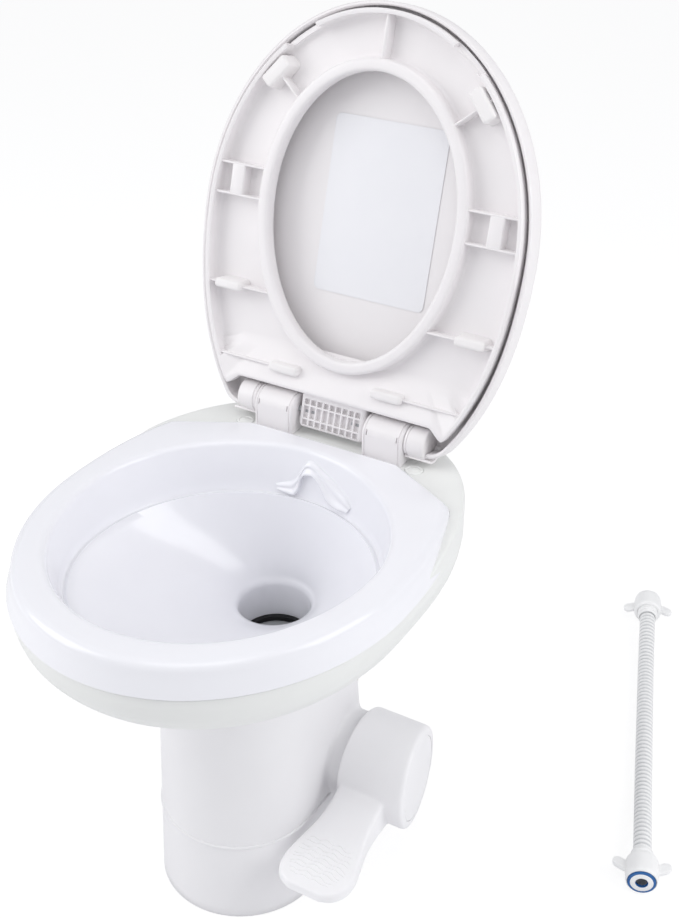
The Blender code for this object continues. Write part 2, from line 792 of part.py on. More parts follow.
def make_bowl():
    inside = bowl_inside()
    outside = [
        hole_ring(RIM_THICK, RIM_Z - RIM_THICK),
        step_ring(BOWL_WALL, STEP_Z - BOWL_WALL),
        step_ring(BOWL_WALL - STEP_LEDGE, STEP_Z - STEP_FALL - BOWL_WALL),
    ]
    lowest = throat_ring(THROAT_R + BOWL_WALL, THROAT_Z - THROAT_ROUND)
    outer_fall = outside[-1][0][2] - lowest[0][2]
    for inward, down in FUNNEL_SHARES[::2]:
        level = outside[2][0][2] - outer_fall * down
        outside.append(level_at(blend(outside[2], lowest, inward), level))
    rings = [
        *reversed(inside),
        hole_ring(RIM_EDGE, RIM_Z - RIM_EDGE),
        hole_ring(RIM_ROUND, RIM_Z),
        rim_ring(-RIM_SHOULDER, RIM_Z),
        rim_ring(-RIM_SHOULDER / 3, RIM_Z - RIM_EDGE),
        rim_ring(0.0, RIM_Z - RIM_SHOULDER * SHOULDER_SHARE),
        rim_ring(RIM_FLARE, RIM_FOOT_Z),
        rim_ring(RIM_FLARE - BOWL_WALL, RIM_FOOT_Z, -BOWL_WALL),
        rim_ring(-BOWL_WALL - GAP, RIM_Z - RIM_SHOULDER),
        rim_ring(-RIM_SHOULDER, RIM_Z - RIM_THICK),
        *outside,
        lowest,
        throat_ring(THROAT_R + BOWL_WALL, THROAT_FOOT_Z),
        throat_ring(THROAT_R, THROAT_FOOT_Z),
    ]
    bowl = loft("bowl", rings, "bowl_white")
    drill = rod(
        "nozzle_hole", TUBE_R + GAP, (0.0, BOWL_Y + RIM_HOLE.rear / 2, NOZZLE_Z),
        (0.0, BOWL_Y + RIM_REAR_CUT[1] - BOWL_WALL - OVERRUN, NOZZLE_Z),
    )
    return cut(bowl, drill)


def make_nozzle():
    """A bell-shaped fan spout on the bowl's rear wall, with its spigot through the wall."""
    rings = []
    top, foot = NOZZLE_DROPS
    for down, wide, proud in NOZZLE_SHARES:
        half, deep = NOZZLE_HALF * wide, NOZZLE_PROUD * proud
        z = RIM_Z - top - (foot - top) * down
        wall = BOWL_Y + RIM_HOLE.rear - (RIM_HOLE.rear - STEP_PLAN.rear - STEP_BACK) * down
        bend = half**2 / (2 * RIM_HOLE.half)
        points = []
        for k in range(NOZZLE_STEPS + 1):
            turn = math.pi * k / NOZZLE_STEPS
            out = (deep + BITE) * math.sin(turn) ** NOZZLE_POWER
            points.append((half * math.cos(turn), wall + BITE - bend * math.cos(turn) ** 2 - out, z))
        points += [(-half, wall + OVERRUN * 2, z), (half, wall + OVERRUN * 2, z)]
        rings.append(points)
    nozzle = loft("flush_nozzle", rings, "bowl_white", capped=True)
    mask = loft("nozzle_mask", [ring for ring in reversed(bowl_inside(-GAP)[:6])], capped=True)
    spigot = rod(
        "nozzle_spigot", TUBE_R, (0.0, BOWL_Y + RIM_HOLE.rear - NOZZLE_PROUD, NOZZLE_Z),
        (0.0, BOWL_Y + RIM_HOLE.rear + BOWL_WALL + OVERRUN, NOZZLE_Z),
    )
    return join(keep(nozzle, mask), spigot)


def deck_outline(inset, front_gap):
    """The deck's plan: round the rear, and along the rim's cuts in front, with a narrow end at each side."""
    corner = math.atan2(RIM_REAR_CUT[1] + front_gap, RIM_REAR_CUT[0])
    low, high = 0.0, corner
    for _ in range(DECK_SEARCHES):
        middle = (low + high) / 2
        if rim_cut(middle, front_gap) < egg(middle, SHELL, -inset):
            high = middle
        else:
            low = middle
    start = high + DECK_TIP
    side = [start + (corner - start) * k / DECK_SIDE_STEPS for k in range(DECK_SIDE_STEPS)]
    rear = [corner + (math.pi / 2 - corner) * k / DECK_REAR_STEPS for k in range(DECK_REAR_STEPS)]
    angles = side + rear + [math.pi / 2] + [math.pi - angle for angle in reversed(side + rear)]
    outer = [egg(angle, SHELL, -inset) for angle in angles]
    inner = [rim_cut(angle, front_gap) for angle in angles]
    loop = list(zip(angles, outer)) + list(zip(angles, inner))[::-1]
    return [(reach * math.cos(angle), BOWL_Y + reach * math.sin(angle)) for angle, reach in loop]


def shell_ring(inset):
    return ring(RIM_ANGLES, lambda angle: egg(angle, SHELL, -inset), 0.0, SHELL_TOP_Z)


def make_shell():
    outer_top, inner_top = shell_ring(SHELL_INSET), shell_ring(SHELL_INSET + SHELL_WALL)
    foot_z = PEDESTAL_TOP_Z + GAP
    outer_foot = pedestal_ring(foot_z)
    inner_foot = pedestal_ring(foot_z, -SHELL_WALL)
    fall = SHELL_TOP_Z - foot_z
    outer, inner = [outer_top], [inner_top]
    for inward, down in SHELL_DISH_SHARES:
        level = SHELL_TOP_Z - fall * down
        outer.append(level_at(blend(outer_top, outer_foot, inward), level))
        if down in SHELL_INNER_SHARES:
            inner.append(level_at(blend(inner_top, inner_foot, inward), level + SHELL_WALL * inward))
    shell = loft("body_shell", [*outer, outer_foot, inner_foot, *reversed(inner)], "shell_white")
    third = DECK_ROUND / 3
    levels = (
        (0.0, DECK_FOOT_Z), (0.0, DECK_TOP_Z - DECK_ROUND), (third, DECK_TOP_Z - third),
        (DECK_ROUND, DECK_TOP_Z),
    )
    rings = []
    for step, z in levels:
        rings.append([(x, y, z) for x, y in deck_outline(step, DECK_GAP + step)])
    deck = loft("deck", rings, capped=True)
    hollow = slab(
        "deck_hollow", deck_outline(SHELL_WALL, DECK_GAP + SHELL_WALL), DECK_FOOT_Z - OVERRUN,
        DECK_TOP_Z - SHELL_WALL,
    )
    cut(deck, hollow)
    join(shell, deck)
    high = DECK_TOP_Z + OVERRUN
    for side in (-1, 1):
        plug_x, stud_x = side * PLUG_X, side * (POST_IN_X + POST_OUT_X) / 2
        low, radius = DECK_TOP_Z - PLUG_DEEP, PLUG_R + GAP
        cut(shell, upright(f"plug_recess_{side}", radius, (plug_x, PLUG_Y), low, high, sides=ROUND_SIDES))
        low = DECK_TOP_Z - SHELL_WALL - OVERRUN
        cut(shell, upright(f"stud_hole_{side}", STUD_R + GAP, (stud_x, HINGE_Y), low, high))
    return shell


def make_plugs():
    for side, name in ((-1, "left"), (1, "right")):
        foot = DECK_TOP_Z - PLUG_DEEP + GAP
        place = (side * PLUG_X, PLUG_Y)
        upright(f"deck_plug_{name}", PLUG_R, place, foot, foot + PLUG_THICK, "bowl_white", ROUND_SIDES)


# Pedestal and base


def screw_places():
    """The two screws that hold the pedestal's rear to the base's lip."""
    rear = BOWL_Y + PEDESTAL_REAR - DRAFT * (SPLIT_Z + LIP_HIGH / 2)
    return [(side * PEDESTAL_CORNER / 5, rear, SPLIT_Z + LIP_HIGH / 2) for side in (-1, 1)]


def make_pedestal():
    foot = SPLIT_Z + GAP
    rings = [
        pedestal_ring(PEDESTAL_TOP_Z),
        pedestal_ring(foot),
        pedestal_ring(foot, -PEDESTAL_WALL),
        pedestal_ring(PEDESTAL_TOP_Z, -PEDESTAL_WALL),
    ]
    pedestal = loft("pedestal", rings, "pedestal_white")
    boss = lying("pedal_boss", BOSS_R, HUB, BOSS_IN_X, BOSS_OUT_X, sides=BOSS_SIDES)
    middle = -PEDESTAL_WALL / 2
    trim = [pedestal_ring(0.0, middle), pedestal_ring(PEDESTAL_TOP_Z, middle)]
    join(pedestal, cut(boss, loft("pedestal_inside", trim, capped=True)))
    start, end = BOSS_IN_X - OVERRUN, BOSS_OUT_X - BOSS_WALL
    cut(pedestal, lying("boss_hollow", BOSS_R - BOSS_WALL, HUB, start, end, sides=BOSS_SIDES))
    end = BOSS_OUT_X + OVERRUN
    way = (INLET_X, WATER_VALVE_Y, SHAFT_Z), (INLET_X, BREAKER_Y, SHAFT_Z)
    cut(
        pedestal,
        lying("bush_seat", BUSH_R + GAP, SHAFT, BOSS_IN_X, end),
        lying("pivot_seat", PIVOT_R + RUN, HUB, BOSS_IN_X, end),
        rod("inlet_hole", INLET_PIPE_R + GAP, *way),
    )
    for k, (x, y, z) in enumerate(screw_places()):
        ends = (x, y - SCREW_LONG, z), (x, y + OVERRUN, z)
        cut(pedestal, rod(f"pedestal_screw_hole_{k}", SCREW_R + GAP, *ends))
    return pedestal


def make_base():
    top = SPLIT_Z
    rings = [
        pedestal_ring(0.0),
        pedestal_ring(top - SPLIT_BEVEL),
        pedestal_ring(top, -SPLIT_BEVEL),
        pedestal_ring(top, -PEDESTAL_WALL - GAP),
        pedestal_ring(top + LIP_HIGH, -PEDESTAL_WALL - GAP),
        pedestal_ring(top + LIP_HIGH, -PEDESTAL_WALL - GAP - LIP_WALL),
        pedestal_ring(top - LIP_HIGH, -PEDESTAL_WALL - GAP - LIP_WALL),
        pedestal_ring(top - LIP_SLOPE_FOOT, -PEDESTAL_WALL),
        pedestal_ring(FLOOR_PLATE, -PEDESTAL_WALL),
        throat_ring(SEAL_HOLE_R, FLOOR_PLATE),
        throat_ring(SEAL_HOLE_R, 0.0),
    ]
    base = loft("base", rings, "pedestal_white")
    for k, (x, y, z) in enumerate(screw_places()):
        ends = (x, y - SCREW_LONG, z), (x, y + OVERRUN, z)
        cut(base, rod(f"lip_screw_hole_{k}", SCREW_R + GAP, *ends))
    for side in (-1, 1):
        place = (side * BOLT_X, THROAT_Y)
        high = BOLT_HEAD + 2 * GAP
        cut(
            base,
            upright(f"bolt_hole_{side}", BOLT_R + GAP * 2, place, -OVERRUN, FLOOR_PLATE + OVERRUN),
            upright(f"bolt_head_hole_{side}", BOLT_HEAD_R + GAP, place, -OVERRUN, high),
        )
    start, radius = BOSS_IN_X - OVERRUN, BOSS_R + 3 * GAP
    return cut(base, lying("boss_room", radius, HUB, start, BOSS_OUT_X, sides=BOSS_SIDES))


def make_base_fasteners():
    for side, name in ((-1, "left"), (1, "right")):
        place = (side * BOLT_X, THROAT_Y)
        bolt = upright(f"closet_bolt_{name}", BOLT_R, place, GAP + BOLT_HEAD / 2, BOLT_TOP_Z, "steel")
        join(bolt, upright(f"bolt_head_{side}", BOLT_HEAD_R, place, GAP, GAP + BOLT_HEAD))
        foot = FLOOR_PLATE + GAP
        neck = foot + FLANGE_HIGH
        start, end = foot + FLANGE_HIGH / 2, neck + NUT_HIGH
        nut = upright(f"closet_nut_{name}", NUT_R, place, start, end, "steel", 6)
        join(nut, upright(f"nut_flange_{side}", BOLT_HEAD_R, place, foot, neck))
        cut(nut, upright(f"nut_bore_{side}", BOLT_R + GAP, place, 0.0, BOLT_TOP_Z + OVERRUN))
    for name, (x, y, z) in zip(("left", "right"), screw_places()):
        face = y + DRAFT * SCREW_HEAD_R + GAP
        ends = (x, y - SCREW_LONG, z), (x, face + SCREW_HEAD / 2, z)
        screw = rod(f"pedestal_screw_{name}", SCREW_R, *ends, "steel")
        join(screw, rod(f"screw_head_{name}", SCREW_HEAD_R, (x, face, z), (x, face + SCREW_HEAD, z)))


def make_floor_seal():
    inner, outer = OUTLET_R + GAP, SEAL_HOLE_R - 2 * GAP
    profile = [(inner, 0.0), (inner, FLOOR_PLATE), (outer, FLOOR_PLATE), (outer, 0.0)]
    turned("floor_seal", profile, (*THROAT, 0.0), (0, 0, 1), "rubber_black", SEAL_SIDES)


# Valve and its drive


def make_throat_seal():
    outer = THROAT_R + BOWL_WALL
    profile = [
        (SEAL_IN_R, SEAL_FOOT_Z), (SEAL_IN_R, SEAL_TOP_Z), (outer, SEAL_TOP_Z), (outer, SEAL_FOOT_Z),
    ]
    turned("throat_seal", profile, (*THROAT, 0.0), (0, 0, 1), "rubber_black", SEAL_SIDES)


def sector(radius, behind, ahead, foot, steps=14):
    """The side view of the valve's room, as (forward, up) from the shaft."""
    turns = [-behind + (behind + ahead) * k / steps for k in range(steps + 1)]
    points = [(radius * math.sin(turn), radius * math.cos(turn)) for turn in turns]
    front, rear = points[-1][0], points[0][0]
    return [*points, (front, foot + (front - OUTLET_R) * 0.5), (OUTLET_R, foot), (rear, foot)]


def side_slab(name, outline, half, finish=None):
    """An outline of (forward, up) from the valve's shaft, made solid to both sides of the middle plane."""
    points = [[(x, SHAFT_Y - ahead, SHAFT_Z + up) for ahead, up in outline] for x in (-half, half)]
    return loft(name, points, finish, capped=True)


def make_housing():
    foot = FLOOR_PLATE + OUTLET_R - SHAFT_Z
    wall = HOUSING_WALL / HOUSING_R
    outer = sector(HOUSING_R + HOUSING_WALL, HOUSING_BEHIND, HOUSING_AHEAD, foot)
    inner = sector(HOUSING_R, HOUSING_BEHIND - wall, HOUSING_AHEAD - wall, foot + HOUSING_WALL)
    housing = side_slab("valve_housing", outer, HOUSING_HALF, "works_black")
    low, high = FLOOR_PLATE + GAP, SHAFT_Z + foot + HOUSING_WALL
    bore, throat = OUTLET_R - HOUSING_WALL, THROAT_R + BOWL_WALL + GAP
    join(
        housing,
        upright("outlet_pipe", OUTLET_R, THROAT, GAP, high, sides=SEAL_SIDES),
        upright("outlet_flange", OUTLET_FLANGE_R, THROAT, low, low + OUTLET_FLANGE, sides=SEAL_SIDES),
    )
    cut(
        housing,
        side_slab("housing_room", inner, HOUSING_HALF - HOUSING_WALL),
        upright("outlet_bore", bore, THROAT, -OVERRUN, SHAFT_Z, sides=SEAL_SIDES),
        upright("throat_room", throat, THROAT, SHAFT_Z, THROAT_Z, sides=SEAL_SIDES),
    )
    reach = HOUSING_HALF + OVERRUN
    cut(
        housing,
        lying("right_bush_hole", BUSH_R + GAP, SHAFT, 0.0, reach),
        lying("left_pin_hole", SHAFT_R + RUN, SHAFT, -reach, 0.0),
    )
    return housing


def make_throat_clamp():
    inner, outer = THROAT_R + BOWL_WALL + GAP, THROAT_R + BOWL_WALL + 2 * BOWL_WALL
    foot = SHAFT_Z + HOUSING_R + HOUSING_WALL + GAP
    top = foot + SEAL_THICK
    profile = [(inner, foot), (inner, top), (outer, top), (outer, foot)]
    turned("throat_clamp", profile, (*THROAT, 0.0), (0, 0, 1), "works_black", SEAL_SIDES)


def make_blade():
    """The domed blade and its two arms, open for the shaft on the right and the pin on the left."""
    steps = 4
    edge = math.asin(BLADE_R / DOME_R)
    inner = DOME_R - BLADE_THICK
    turns = [edge * k / steps for k in range(steps + 1)]
    profile = [(DOME_R * math.sin(turn), DOME_R * math.cos(turn)) for turn in turns]
    profile += [(inner * math.sin(turn), inner * math.cos(turn)) for turn in reversed(turns)]
    dome = turned("valve_blade", profile, (0.0, *SHAFT), (0, 0, 1), "blade_grey", BLADE_SIDES)
    rim_height = inner * math.cos(edge)
    wide, narrow = BLADE_R * ARM_TOP_SHARE, BLADE_HUB_R * ARM_FOOT_SHARE
    arm = [(-narrow, 0.0), (narrow, 0.0), (wide, rim_height), (-wide, rim_height)]
    start = SHAFT_HUB_X - 2 * BLADE_ARM
    for side in (-1, 1):
        low, high = side * SHAFT_HUB_X, side * (SHAFT_HUB_X - BLADE_ARM)
        points = [[(x, SHAFT_Y - ahead, SHAFT_Z + up) for ahead, up in arm] for x in (low, high)]
        arm_piece = loft(f"blade_arm_{side}", points, capped=True)
        hub = lying(f"blade_hub_{side}", BLADE_HUB_R, SHAFT, side * start, low)
        near, far = sorted((low, side * start))
        level = SHAFT_Z + rim_height
        foot = box(
            f"blade_foot_{side}",
            (near, SHAFT_Y - wide, level - BLADE_ARM), (far, SHAFT_Y + wide, level + BLADE_ARM / 3),
        )
        join(dome, arm_piece, hub, foot)
        near, far = side * (start - OVERRUN), side * (SHAFT_HUB_X + OVERRUN)
        cut(dome, lying(f"blade_bore_{side}", SHAFT_R + GAP, SHAFT, near, far))
    return dome


def make_shafts():
    start = SHAFT_HUB_X - 2 * BLADE_ARM
    drive = lying("valve_drive_shaft", SHAFT_R, SHAFT, start, GEAR_IN_X + GEAR_THICK, "steel")
    end = -HOUSING_HALF - BOLT_HEAD
    pin = lying("valve_pivot_pin", SHAFT_R, SHAFT, end, -start, "steel")
    join(pin, lying("pivot_pin_head", BLADE_HUB_R, SHAFT, end, -HOUSING_HALF - GAP))
    return drive, pin


def make_bushes():
    """Flanged bushes of the drive shaft: one in the housing's wall, one in the boss's end."""
    bore, rim = SHAFT_R + RUN, BUSH_R + BUSH_FLANGE
    for name, inner, outer in (
        ("housing_bush", HOUSING_HALF - HOUSING_WALL, HOUSING_HALF),
        ("boss_bush", BOSS_OUT_X - BOSS_WALL, BOSS_OUT_X),
    ):
        if name == "housing_bush":
            face, end, flange = outer + GAP, inner, outer + GAP + BUSH_FLANGE_HIGH
        else:
            face, end, flange = inner - GAP, outer, inner - GAP - BUSH_FLANGE_HIGH
        profile = [(bore, end), (bore, flange), (rim, flange), (rim, face), (BUSH_R, face), (BUSH_R, end)]
        turned(name, profile, (0.0, *SHAFT), (1, 0, 0), "nylon", SMALL_SIDES)


def gear_point(radius, turn):
    return (radius * math.cos(turn), radius * math.sin(turn))


def gear_piece(name, outline, middle, finish):
    """A flat outline in Y and Z about a middle, made solid along X between the gear's faces."""
    ends = (GEAR_IN_X, GEAR_IN_X + GEAR_THICK)
    points = [[(x, middle[0] + across, middle[1] + up) for across, up in outline] for x in ends]
    return loft(name, points, finish, capped=True)


def make_pinion():
    pitch = 2 * math.pi / PINION_TEETH
    tip, root = PINION_R + ADDENDUM, PINION_R - DEDENDUM
    outline = []
    for tooth in range(PINION_TEETH):
        middle = CONTACT_ANGLE + tooth * pitch
        outline += [
            gear_point(root, middle - pitch * TOOTH_ROOT_SHARE),
            gear_point(tip, middle - pitch * TOOTH_TIP_SHARE),
            gear_point(tip, middle + pitch * TOOTH_TIP_SHARE),
            gear_point(root, middle + pitch * TOOTH_ROOT_SHARE),
        ]
    pinion = gear_piece("valve_pinion", outline, SHAFT, "nylon")
    start, end = GEAR_IN_X - OVERRUN, GEAR_IN_X + GEAR_THICK + OVERRUN
    return cut(pinion, lying("pinion_bore", SHAFT_R + GAP, SHAFT, start, end))


def make_ring_gear():
    """The sector of inner teeth in the pedal's drum that drives the pinion."""
    pitch = 2 * math.pi / RING_TEETH
    tip, root = RING_R - ADDENDUM, RING_R + DEDENDUM
    first, last = SECTOR_TEETH
    inner = []
    for tooth in range(first, last + 1):
        middle = CONTACT_ANGLE + (tooth - 0.5) * pitch
        inner += [
            gear_point(root, middle - pitch * TOOTH_ROOT_SHARE),
            gear_point(tip, middle - pitch * TOOTH_TIP_SHARE),
            gear_point(tip, middle + pitch * TOOTH_TIP_SHARE),
            gear_point(root, middle + pitch * TOOTH_ROOT_SHARE),
        ]
    start = CONTACT_ANGLE + (first - 1) * pitch
    end = CONTACT_ANGLE + last * pitch
    steps = 8
    outer = [gear_point(SECTOR_BACK, end + (start - end) * k / steps) for k in range(steps + 1)]
    outline = [gear_point(root, start), *inner, gear_point(root, end), *outer]
    return gear_piece("pedal_ring_gear", outline, HUB, "nylon")


def make_cam():
    """A snail cam on the drive shaft: it pushes the water valve's plunger back as the pedal goes down."""
    steps = 20
    outline = []
    for k in range(steps):
        turn = 2 * math.pi * k / steps
        signed = turn if turn < math.pi / 2 else turn - 2 * math.pi
        radius = CAM_R - CAM_LIFT * max(signed, -CAM_RISE)
        if signed < -CAM_RISE:
            share = (-CAM_RISE - signed) / CAM_FALL
            radius += (CAM_R - CAM_LIFT * math.pi / 2 - radius) * min(share, 1.0)
        outline.append(gear_point(radius, turn))
    ends = (CAM_IN_X, CAM_IN_X + CAM_THICK)
    points = [[(x, SHAFT_Y + across, SHAFT_Z + up) for across, up in outline] for x in ends]
    cam = loft("valve_cam", points, "nylon", capped=True)
    return cut(cam, lying("cam_bore", SHAFT_R + GAP, SHAFT, ends[0] - OVERRUN, ends[1] + OVERRUN))


# Water works


def make_water_valve():
    bore_share, in_share = PLUNGER_SHARES
    start, end = WATER_VALVE_Y, WATER_VALVE_Y + WATER_VALVE_LONG
    tip = SHAFT_Y + CAM_R + PLUNGER_SLACK

    def at(y):
        return (WATER_X, y, SHAFT_Z)

    body = rod("water_valve_body", WATER_VALVE_R, at(start), at(end), "works_black", ROUND_SIDES)
    bore_end = at(start + WATER_VALVE_LONG * bore_share)
    cut(body, rod("plunger_bore", PLUNGER_R + RUN, at(start - OVERRUN), bore_end))
    inner_end = at(start + WATER_VALVE_LONG * in_share)
    plunger = rod("water_valve_plunger", PLUNGER_R, at(tip + PLUNGER_TIP), inner_end, "nylon")
    cone = at(tip), at(tip + PLUNGER_TIP + GAP)
    join(plunger, rod("plunger_tip", PLUNGER_TIP_R, *cone, end_radius=PLUNGER_R))
    make_inlet(end + GAP)
    return body, plunger


def make_inlet(start):
    """The inlet: a pipe from the water valve's end through the pedestal's rear to a threaded spigot."""
    half = PEDESTAL_R - DRAFT * SHAFT_Z
    rear = BOWL_Y + PEDESTAL_REAR - DRAFT * SHAFT_Z
    off = INLET_X + INLET_PIPE_R - (half - PEDESTAL_CORNER)
    wall = rear - PEDESTAL_CORNER + math.sqrt(PEDESTAL_CORNER**2 - off**2)
    face = rear + DRAFT * INLET_COLLAR_R + GAP
    end = face + INLET_COLLAR + INLET_LONG
    across = WATER_X - INLET_X
    route = [(WATER_X, start, SHAFT_Z)]
    for sideways, bends in INLET_SHARES:
        route.append((WATER_X - across * sideways, start + INLET_BEND * bends, SHAFT_Z))
    route += [(INLET_X, wall, SHAFT_Z), (INLET_X, face + INLET_COLLAR, SHAFT_Z)]
    inlet = tube("inlet_fitting", route, INLET_PIPE_R, "nylon", resolution=1)

    def at(y):
        return (INLET_X, y, SHAFT_Z)

    collar = rod("inlet_collar", INLET_COLLAR_R, at(face), at(face + INLET_COLLAR), sides=6)
    spigot = rod("inlet_spigot", INLET_R, at(face + INLET_COLLAR / 2), at(end), sides=ROUND_SIDES)
    join(inlet, collar, spigot)
    mouth = at(end - INLET_LONG * MOUTH_SHARES[1]), at(end + OVERRUN)
    cut(
        inlet,
        rod("inlet_bore", INLET_R * MOUTH_SHARES[0], *mouth),
        rod("inlet_way", INLET_PIPE_R * WAY_SHARE, at(face - INLET_LONG), at(end)),
    )


def make_flush_line():
    """The vacuum breaker under the deck, the tube that feeds it and the one that leads to the nozzle."""
    low, high = BREAKER_Z
    upright("vacuum_breaker", BREAKER_R, (0.0, BREAKER_Y), low, high, "works_black", ROUND_SIDES)
    ends = (
        (0.0, BOWL_Y + RIM_HOLE.rear + BOWL_WALL + OVERRUN + GAP, NOZZLE_Z),
        (0.0, BREAKER_Y - BREAKER_R - 3 * GAP, NOZZLE_Z),
    )
    rod("nozzle_tube", TUBE_R + TUBE_WALL, *ends, "nylon")
    start_y = WATER_VALVE_Y + WATER_VALVE_LONG / 2
    foot, head = SHAFT_Z + WATER_VALVE_R + GAP, low - GAP
    route = []
    for sideways, back, up in FLUSH_SHARES:
        route.append((WATER_X * sideways, start_y + (BREAKER_Y - start_y) * back, foot + (head - foot) * up))
    tube("flush_tube", smooth_route(route, 2 * TUBE_R), TUBE_R, "nylon", resolution=1)


# Hinge, seat and lid


def make_posts():
    foot, nut_top = DECK_TOP_Z + GAP, DECK_TOP_Z - SHELL_WALL - GAP
    nut_foot = nut_top - HINGE_NUT_HIGH
    wide, tall, deep = POST_SLOT
    turns = [math.pi * k / POST_STEPS for k in range(1, POST_STEPS + 1)]
    barrel = [(-POST_R * math.cos(turn), POST_R * math.sin(turn)) for turn in turns]
    outline = [
        (-POST_FRONT, foot - HINGE_Z), (-POST_FRONT, 0.0), *barrel,
        (POST_REAR, -POST_R * POST_WAIST_SHARE), (POST_REAR, foot - HINGE_Z),
    ]
    for side, name in ((-1, "left"), (1, "right")):
        low, high = sorted((side * POST_IN_X, side * POST_OUT_X))
        points = [[(x, HINGE_Y + across, HINGE_Z + up) for across, up in outline] for x in (low, high)]
        post = loft(f"hinge_post_{name}", points, "seat_white", capped=True)
        round_edges(post, POST_EDGE)
        place = ((low + high) / 2, HINGE_Y)
        join(post, upright(f"stud_{side}", STUD_R, place, foot - STUD_LONG, foot + STUD_R))
        slot_x = side * (POST_OUT_X - 2 * tall if side > 0 else POST_OUT_X - tall)
        face = HINGE_Y - POST_FRONT
        cut(
            post,
            lying(f"post_bore_{side}", HINGE_PIN_R + GAP, HINGE, low - OVERRUN, high + OVERRUN),
            box(
                f"post_slot_{side}", (slot_x - tall, face - deep, HINGE_Z + wide),
                (slot_x, face + deep, HINGE_Z + 2 * wide),
            ),
        )
        nut = upright(f"hinge_nut_{name}", HINGE_NUT_R, place, nut_foot, nut_top, "nylon", 6)
        cut(nut, upright(f"nut_way_{side}", STUD_R + GAP, place, nut_foot - OVERRUN, nut_top + OVERRUN))
        lying(f"hinge_pin_{name}", HINGE_PIN_R, HINGE, side * PIN_IN_X, side * PIN_OUT_X, "steel")


def closed_ring(angles, plan, forward, outset, up, rear=None):
    """A ring of the closed seat or lid, from its hinge: +Y is behind, where a rear edge may cut it."""
    points = []
    for angle in angles:
        reach = egg(angle, plan, outset)
        if rear is not None and math.sin(angle) > 0:
            reach = min(reach, (forward - rear + min(outset, 0.0)) / math.sin(angle))
        points.append((reach * math.cos(angle), -forward + reach * math.sin(angle), up))
    return points


def cut_corner(plan, forward, rear):
    """The angle at which a straight rear edge meets an outline."""
    back = forward - rear
    across = plan.half * (1 - (back / plan.rear) ** plan.rear_power) ** (1 / plan.rear_power)
    return math.atan2(back, across)


def seat_place(side, across, forward, turn=0.0):
    """Under the closed seat, with Y turned inwards for a turned piece."""
    return Matrix.Translation((side * across, -forward, 0.0)) @ Matrix.Rotation(-side * turn, 4, "Z")


def flat_box(low, high):
    return [(low[0], low[1]), (high[0], low[1]), (high[0], high[1]), (low[0], high[1])]


def bumper_rib(side, start, end, thick, crosswise):
    """The outline of the rib that a bumper straddles, in the bumper's own plane."""
    if crosswise:
        return flat_box((-thick / 2, start), (thick / 2, end))
    low, high = sorted((side * start, side * end))
    return flat_box((low, -thick / 2), (high, thick / 2))


def seat_ribs():
    """Thin stiffening ribs under the seat, and the blocks between the box ribs."""
    ribs = []
    high = SEAT_TOP - SEAT_SKIN + GAP
    near, far = POINTED_RIB
    thick = RIB_THICK / 2
    ribs.append(slab("pointed_rib", flat_box((-thick, -far), (thick, -near)), RIB_FOOT, high))
    for side in (-1, 1):
        inner, outer = sorted((side * (HOLE.half + HOLE_WALL / 2), side * RIB_OUT))
        for k, forward in enumerate(BOX_RIBS_FORWARD):
            outline = flat_box((inner, -forward - thick), (outer, -forward + thick))
            ribs.append(slab(f"box_rib_{side}_{k}", outline, RIB_FOOT, high))
        low_x, high_x = sorted(side * across for across in PAD_INSET)
        outline = flat_box((low_x, -BOX_RIBS_FORWARD[0]), (high_x, -BOX_RIBS_FORWARD[1]))
        ribs.append(slab(f"rib_block_{side}", outline, RIB_FOOT + GAP, high))
        for name, across, forward, _, _, turn, start, end, crosswise in BUMPERS:
            outline = bumper_rib(side, start, end, RIB_THICK, crosswise)
            place = seat_place(side, across, forward, turn)
            ribs.append(slab(f"{name}_rib_{side}", outline, RIB_FOOT - GAP, high, matrix=place))
    return ribs


def lattice_cells():
    """The grid of small recesses in the front of the knuckle block: three rows, the outer two shorter."""
    cells = []
    wide = 2 * (KNUCKLE_HALF - CELL_MARGIN)
    column = (wide - (CELL_COLUMNS - 1) * CELL_WALL) / CELL_COLUMNS
    tall = 2 * (KNUCKLE_BACK - CELL_MARGIN) - (CELL_ROWS - 1) * CELL_WALL
    middle = tall / (1 + (CELL_ROWS - 1) * CELL_SHORT_SHARE)
    start = -KNUCKLE_BACK + CELL_MARGIN
    for row in range(CELL_ROWS):
        height = middle if row == CELL_ROWS // 2 else middle * CELL_SHORT_SHARE
        for k in range(CELL_COLUMNS):
            left = -wide / 2 + k * (column + CELL_WALL)
            cells.append(((left, start), (left + column, start + height)))
        start += height + CELL_WALL
    shape = bmesh.new()
    for (left, low), (right, high) in cells:
        made = bmesh.ops.create_cube(shape, size=1)["verts"]
        bmesh.ops.scale(shape, vec=(right - left, high - low, CELL_DEEP + OVERRUN), verts=made)
        place = ((left + right) / 2, -(low + high) / 2, -KNUCKLE_DEEP + (CELL_DEEP - OVERRUN) / 2)
        bmesh.ops.translate(shape, vec=place, verts=made)
    return from_bmesh("lattice_cells", shape)


